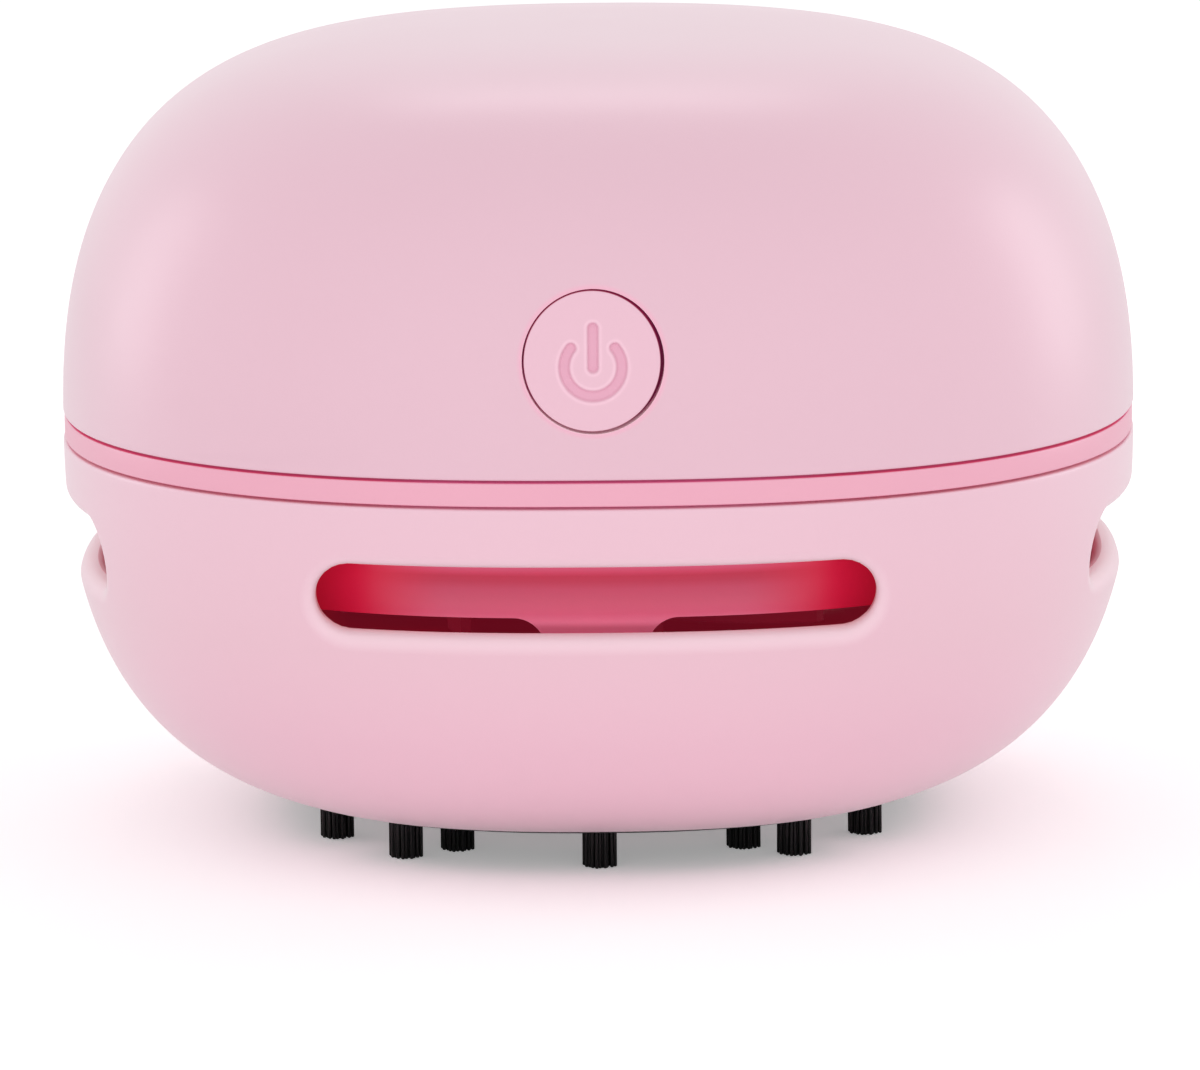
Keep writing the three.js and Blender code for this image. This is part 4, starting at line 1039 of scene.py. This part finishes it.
def tuft_mesh(centres):
    """All the strands of the tufts at these centres, as one mesh."""
    golden = math.pi * (3 - math.sqrt(5))
    points, faces = [], []
    for cx, cy in centres:
        for i in range(strands_a_tuft):
            out = (tuft_radius - strand_radius) * math.sqrt((i + 0.5) / strands_a_tuft)
            lean_x, lean_y = chance.normal(0, lean_spread, 2)
            tip = abs(chance.normal(0, tip_spread))
            more, sides = strand(cx + out * math.cos(i * golden), cy + out * math.sin(i * golden),
                                 lean_x, lean_y, tip, strip_top - root_depth)
            faces += [tuple(k + len(points) for k in side) for side in sides]
            points += more
    mesh = bpy.data.meshes.new("tufts")
    mesh.from_pydata([tuple(c * mm for c in p) for p in points], [], faces)
    made = bpy.data.objects.new("tufts", mesh)
    bpy.context.collection.objects.link(made)
    return made


print("a tuft has", strands_a_tuft, "strands")

# %% [markdown]
# Bristles are nylon, extruded as a thread. It is deep black, with a narrow sheen along each
# strand, so the streaks in its roughness are stretched lengthwise. Real ones are a few hundredths
# of a millimetre wide. They are drawn 0.3 mm wide, because finer ones wouldn't show.
# %% Black nylon
streak_width = 0.3


def extruded_nylon():
    """Extruded nylon bristle: deep black, with a narrow sheen along each strand."""
    material = bpy.data.materials.new("extruded_black_nylon")
    tree = new_tree(material)
    place = node(tree, "TexCoord", take="Object")
    drawn_out = node(tree, "Mapping", {"Vector": place, "Scale": (1, 1, 0.05)})
    streaks = node(tree, "TexNoise", {"Vector": drawn_out, "Scale": 1 / (streak_width * mm)})
    rough = node(tree, "MapRange", {"Value": streaks, "To Min": 0.24, "To Max": 0.42})
    surface = node(tree, "BsdfPrincipled", {
        "Base Color": "141414", "Roughness": rough, "IOR": 1.53, "Specular IOR Level": 0.3})
    node(tree, "OutputMaterial", {"Surface": surface})
    return material


bristle_nylon = extruded_nylon()
print("made", bristle_nylon.name)

# %% [markdown]
# The front and rear strips carry two rows of tufts, the side strips one. A tuft's place is an
# angle along its row, in degrees, and the side strips' tufts stand a little inside their row.
# %% Brush strips with their tufts
outer_places = {long_span: (-38, 0, 38), short_span: (-30, 0, 30)}
inner_places = {long_span: (-33.5, 33.5), short_span: ()}
set_back = {long_span: (0, 0, 0), short_span: (0.3, 0.8, 0.3)}
for where, plan in strip_plans.items():
    turn, _, span = plan
    row = outer_row - np.array(set_back[span])
    centres = np.vstack([on_plan(row, np.radians(outer_places[span]), 0.0),
                         on_plan(inner_row, np.radians(inner_places[span]), 0.0)])
    tufts = tuft_mesh(quarter_turn(centres, turn)[:, :2])
    finish_piece([strip_body(plan), tufts], f"brush_strip_{where}", bristle_nylon, "dust_cup",
                 [f"brush_{where}"], sharp=50, recalc=False)

# %% [markdown]
# When the head comes off its cup, its underside shows. The fan plate is round inside, where the
# air enters the fan and the filter's socket hangs, and follows the housing's plan at its edge.
# Its rings run once round its section.
# %% Fan plate
def half_of(name):
    """A solid's reach to one side, its bottom and its top, in millimetres."""
    low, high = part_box(name)
    return high[0] / mm, low[2] / mm, high[2] / mm


plate_thickness = 1.8
plate_round = 0.2
edge_height = 0.7
edge_width = 1.4
socket_gap = 0.3
socket_wall = 1.2
socket_round = 0.25
inlet = 10.0
inlet_bevel = 0.3
plate_edge, socket_bottom, plate_top = half_of("fan_plate")
pan_radius, pan_bottom, pan_top = half_of("filter_frame")
plate_bottom = plate_top - plate_thickness
socket_reach = pan_radius + socket_gap
socket_outer = socket_reach + socket_wall
shoulder = plate_edge - edge_width
section = [(inlet + inlet_bevel, plate_top), (inlet, plate_top - inlet_bevel)]
section += [(inlet, plate_bottom + inlet_bevel), (inlet + inlet_bevel, plate_bottom)]
section += [(socket_reach, plate_bottom)]
section += rounded((socket_reach, socket_bottom), (0, -1), (1, 0), socket_round, 3)
section += rounded((socket_outer, socket_bottom), (1, 0), (0, 1), socket_round, 3)
section += [(socket_outer, plate_bottom)]
round_count = len(section)
section += rounded((plate_edge, plate_bottom), (1, 0), (0, 1), plate_round, 3)
section += [(plate_edge, plate_bottom + edge_height), (shoulder, plate_bottom + edge_height)]
section += [(shoulder, plate_top), (inlet + inlet_bevel, plate_top)]
squares = [0.0] * round_count + [1.0] * (len(section) - round_count - 1) + [0.0]
finish_piece([rings(section, squares)], "fan_plate_smooth", frame_abs, "head", ["fan_plate"])

# %% [markdown]
# The other pieces have finishes of their own. Moulded polypropylene and nylon are satin, needled
# felt is matte with half-millimetre fibres, and silicone is a dull near-black. Plated steel and
# brass mirror softly, pressed ferrite is a dull grey, and the cell's foil has wide creases. Foam
# is matte with small cells, and lacquer and cable insulation are smooth. Most need one colour
# and a grain, given in millimetres, in the bump and the roughness.
# %% Finishes of the other pieces
def simple_finish(name, colour, roughness, metallic=0.0, grain=0.2, depth=0.01):
    """A plain finish with a little grain in its bump and its roughness."""
    material = bpy.data.materials.new(name)
    tree = new_tree(material)
    place = node(tree, "TexCoord", take="Object")
    grit = node(tree, "TexNoise", {"Vector": place, "Scale": 1 / (grain * mm), "Detail": 3.0})
    rough = node(tree, "MapRange", {"Value": grit, "To Min": roughness - 0.06, "To Max": roughness + 0.06})
    bump = node(tree, "Bump", {"Height": grit, "Strength": 0.4, "Distance": depth * mm})
    surface = node(tree, "BsdfPrincipled", {
        "Base Color": colour, "Metallic": metallic, "Roughness": rough, "Normal": bump})
    node(tree, "OutputMaterial", {"Surface": surface})
    return material


fan_cloud_size = 8


# painted glow on the fan, so the chamber under the skirt isn't black
def fan_painted_glow(tree, place):
    """A painted pink glow, like the one on the frame above it."""
    cloud = node(tree, "TexNoise", {"Vector": place, "Scale": 1 / (fan_cloud_size * mm), "Detail": 2.0})
    return node(tree, "Mix", {"Factor": cloud, "A": "540c1b", "B": "5c0e1d"}, **colour_mix)


finishes = {
    "filter_plastic": moulded_plastic("moulded_grey_polypropylene", "d9d9d6", "d6d6d2", 0.5),
    "filter_felt": simple_finish("needled_polyester_felt", "e9e6df", 0.9, grain=0.5, depth=0.3),
    "seal_rubber": simple_finish("moulded_black_silicone", "2b2b2d", 0.7, grain=0.3),
    "motor_steel": simple_finish("zinc_plated_drawn_steel", "b9bcc0", 0.34, metallic=1.0),
    "screw_steel": simple_finish("zinc_plated_cold_headed_steel", "aeb1b5", 0.3, metallic=1.0),
    "magnet_iron": simple_finish("sintered_ferrite", "54565a", 0.6, metallic=0.6),
    "end_cap_plastic": moulded_plastic("moulded_natural_nylon", "e8e6e0", "e5e2da", 0.45),
    "tab_brass": simple_finish("stamped_brass", "c9a25a", 0.3, metallic=1.0),
    "fan_plastic": moulded_plastic("moulded_wine_red_abs", "8a2440", "85213c", 0.4, glow=fan_painted_glow),
    "cell_foil": simple_finish("laminated_foil_pouch", "c7cad0", 0.35, metallic=0.6, grain=1.5, depth=0.05),
    "foam": simple_finish("closed_cell_foam", "1d1d1f", 0.9, grain=0.4, depth=0.1),
    "board_green": simple_finish("green_lacquered_glass_fibre_board", "1f6b3d", 0.4, grain=0.6),
    "switch_plastic": simple_finish("moulded_black_nylon", "18181a", 0.45),
    "lead_red": simple_finish("extruded_red_insulation", "c02a25", 0.45),
    "lead_black": simple_finish("extruded_black_insulation", "161617", 0.45),
}
print("finishes:", len(finishes))

# %% [markdown]
# A silicone ring sits round the edge of the fan plate and closes the gap to the cup's wall. Its
# outer corners are rounded, so that it slides in.
# %% Plate seal
def outer_edge(reach, bottom, top, radius):
    """The two outer corners of a section, each turned into a small arc."""
    return (rounded((reach, bottom), (1, 0), (0, 1), radius, 4)
            + rounded((reach, top), (0, 1), (-1, 0), radius, 4))


seal_round = 0.3
seal_gap = 0.3
seal_edge, seal_bottom, seal_top = half_of("plate_seal")
seal_inside = shoulder + seal_gap
section = outer_edge(seal_edge, seal_bottom, seal_top, seal_round)
section += [(seal_inside, seal_top), (seal_inside, seal_bottom)]
section += section[:1]
finish_piece([rings(section)], "plate_seal_ring", finishes["seal_rubber"], "head", ["plate_seal"])

# %% [markdown]
# The filter's pan is a turned ring with a ledge, and two bars that cross under the felt. One bar
# is a hair thinner than the other, so that no two faces lie on each other where they cross.
# %% Filter pan
pan_wall = 2.6
pan_round = 0.3
ledge_width = 1.4
ledge_height = 0.6
bar_width = 1.6
bar_heights = (0.58, 0.54)
bar_overlap = 0.4
pan_inside = pan_radius - pan_wall
pan_opening = pan_inside - ledge_width
section = [(pan_opening, pan_bottom)] + outer_edge(pan_radius, pan_bottom, pan_top, pan_round)
section += [(pan_inside, pan_top), (pan_inside, pan_bottom + ledge_height)]
section += [(pan_opening, pan_bottom + ledge_height), (pan_opening, pan_bottom)]
pan = rings(section, [0.0] * len(section))
bars = []
for turn, height in enumerate(bar_heights):
    bpy.ops.mesh.primitive_cube_add(size=1, location=(0, 0, (pan_bottom + ledge_height / 2) * mm))
    bar = bpy.context.object
    long, short = 2 * (pan_opening + bar_overlap) * mm, bar_width * mm
    bar.scale = (long, short, height * mm) if turn == 0 else (short, long, height * mm)
    bpy.ops.object.transform_apply(location=True, rotation=True, scale=True)
    bars.append(bar)
finish_piece([pan] + bars, "filter_pan", finishes["filter_plastic"], "filter", ["filter_frame"],
             recalc=False)

# %% [markdown]
# The felt is a thick soft disc that fills the pan. It is turned too, with well rounded edges.
# %% Filter felt
felt_round = 0.4
felt_radius, felt_bottom, felt_top = half_of("filter_felt")
half_way = felt_radius * 0.5
section = [(0, felt_bottom), (half_way, felt_bottom)]
section += outer_edge(felt_radius, felt_bottom, felt_top, felt_round)
section += [(half_way, felt_top), (0, felt_top)]
finish_piece([rings(section, [0.0] * len(section))], "filter_felt_disc", finishes["filter_felt"], "filter",
             ["filter_felt"])

# %% [markdown]
# The pieces inside keep their solids' shapes, because little more than the charging socket and
# the plate's screws ever shows. Each gets the finish of its slot in the record.
# %% Finishes of the pieces inside
finishes.update(shell_pink=shell_abs, frame_pink=frame_abs, button_pink=button_abs,
                bristle_nylon=bristle_nylon)
for part in frame["record"]["subparts"]:
    solid = frame["nodes"][part["node"]]
    for place in solid.material_slots:
        place.material = finishes[part["material_slot"]]
print("all finishes:", len(finishes))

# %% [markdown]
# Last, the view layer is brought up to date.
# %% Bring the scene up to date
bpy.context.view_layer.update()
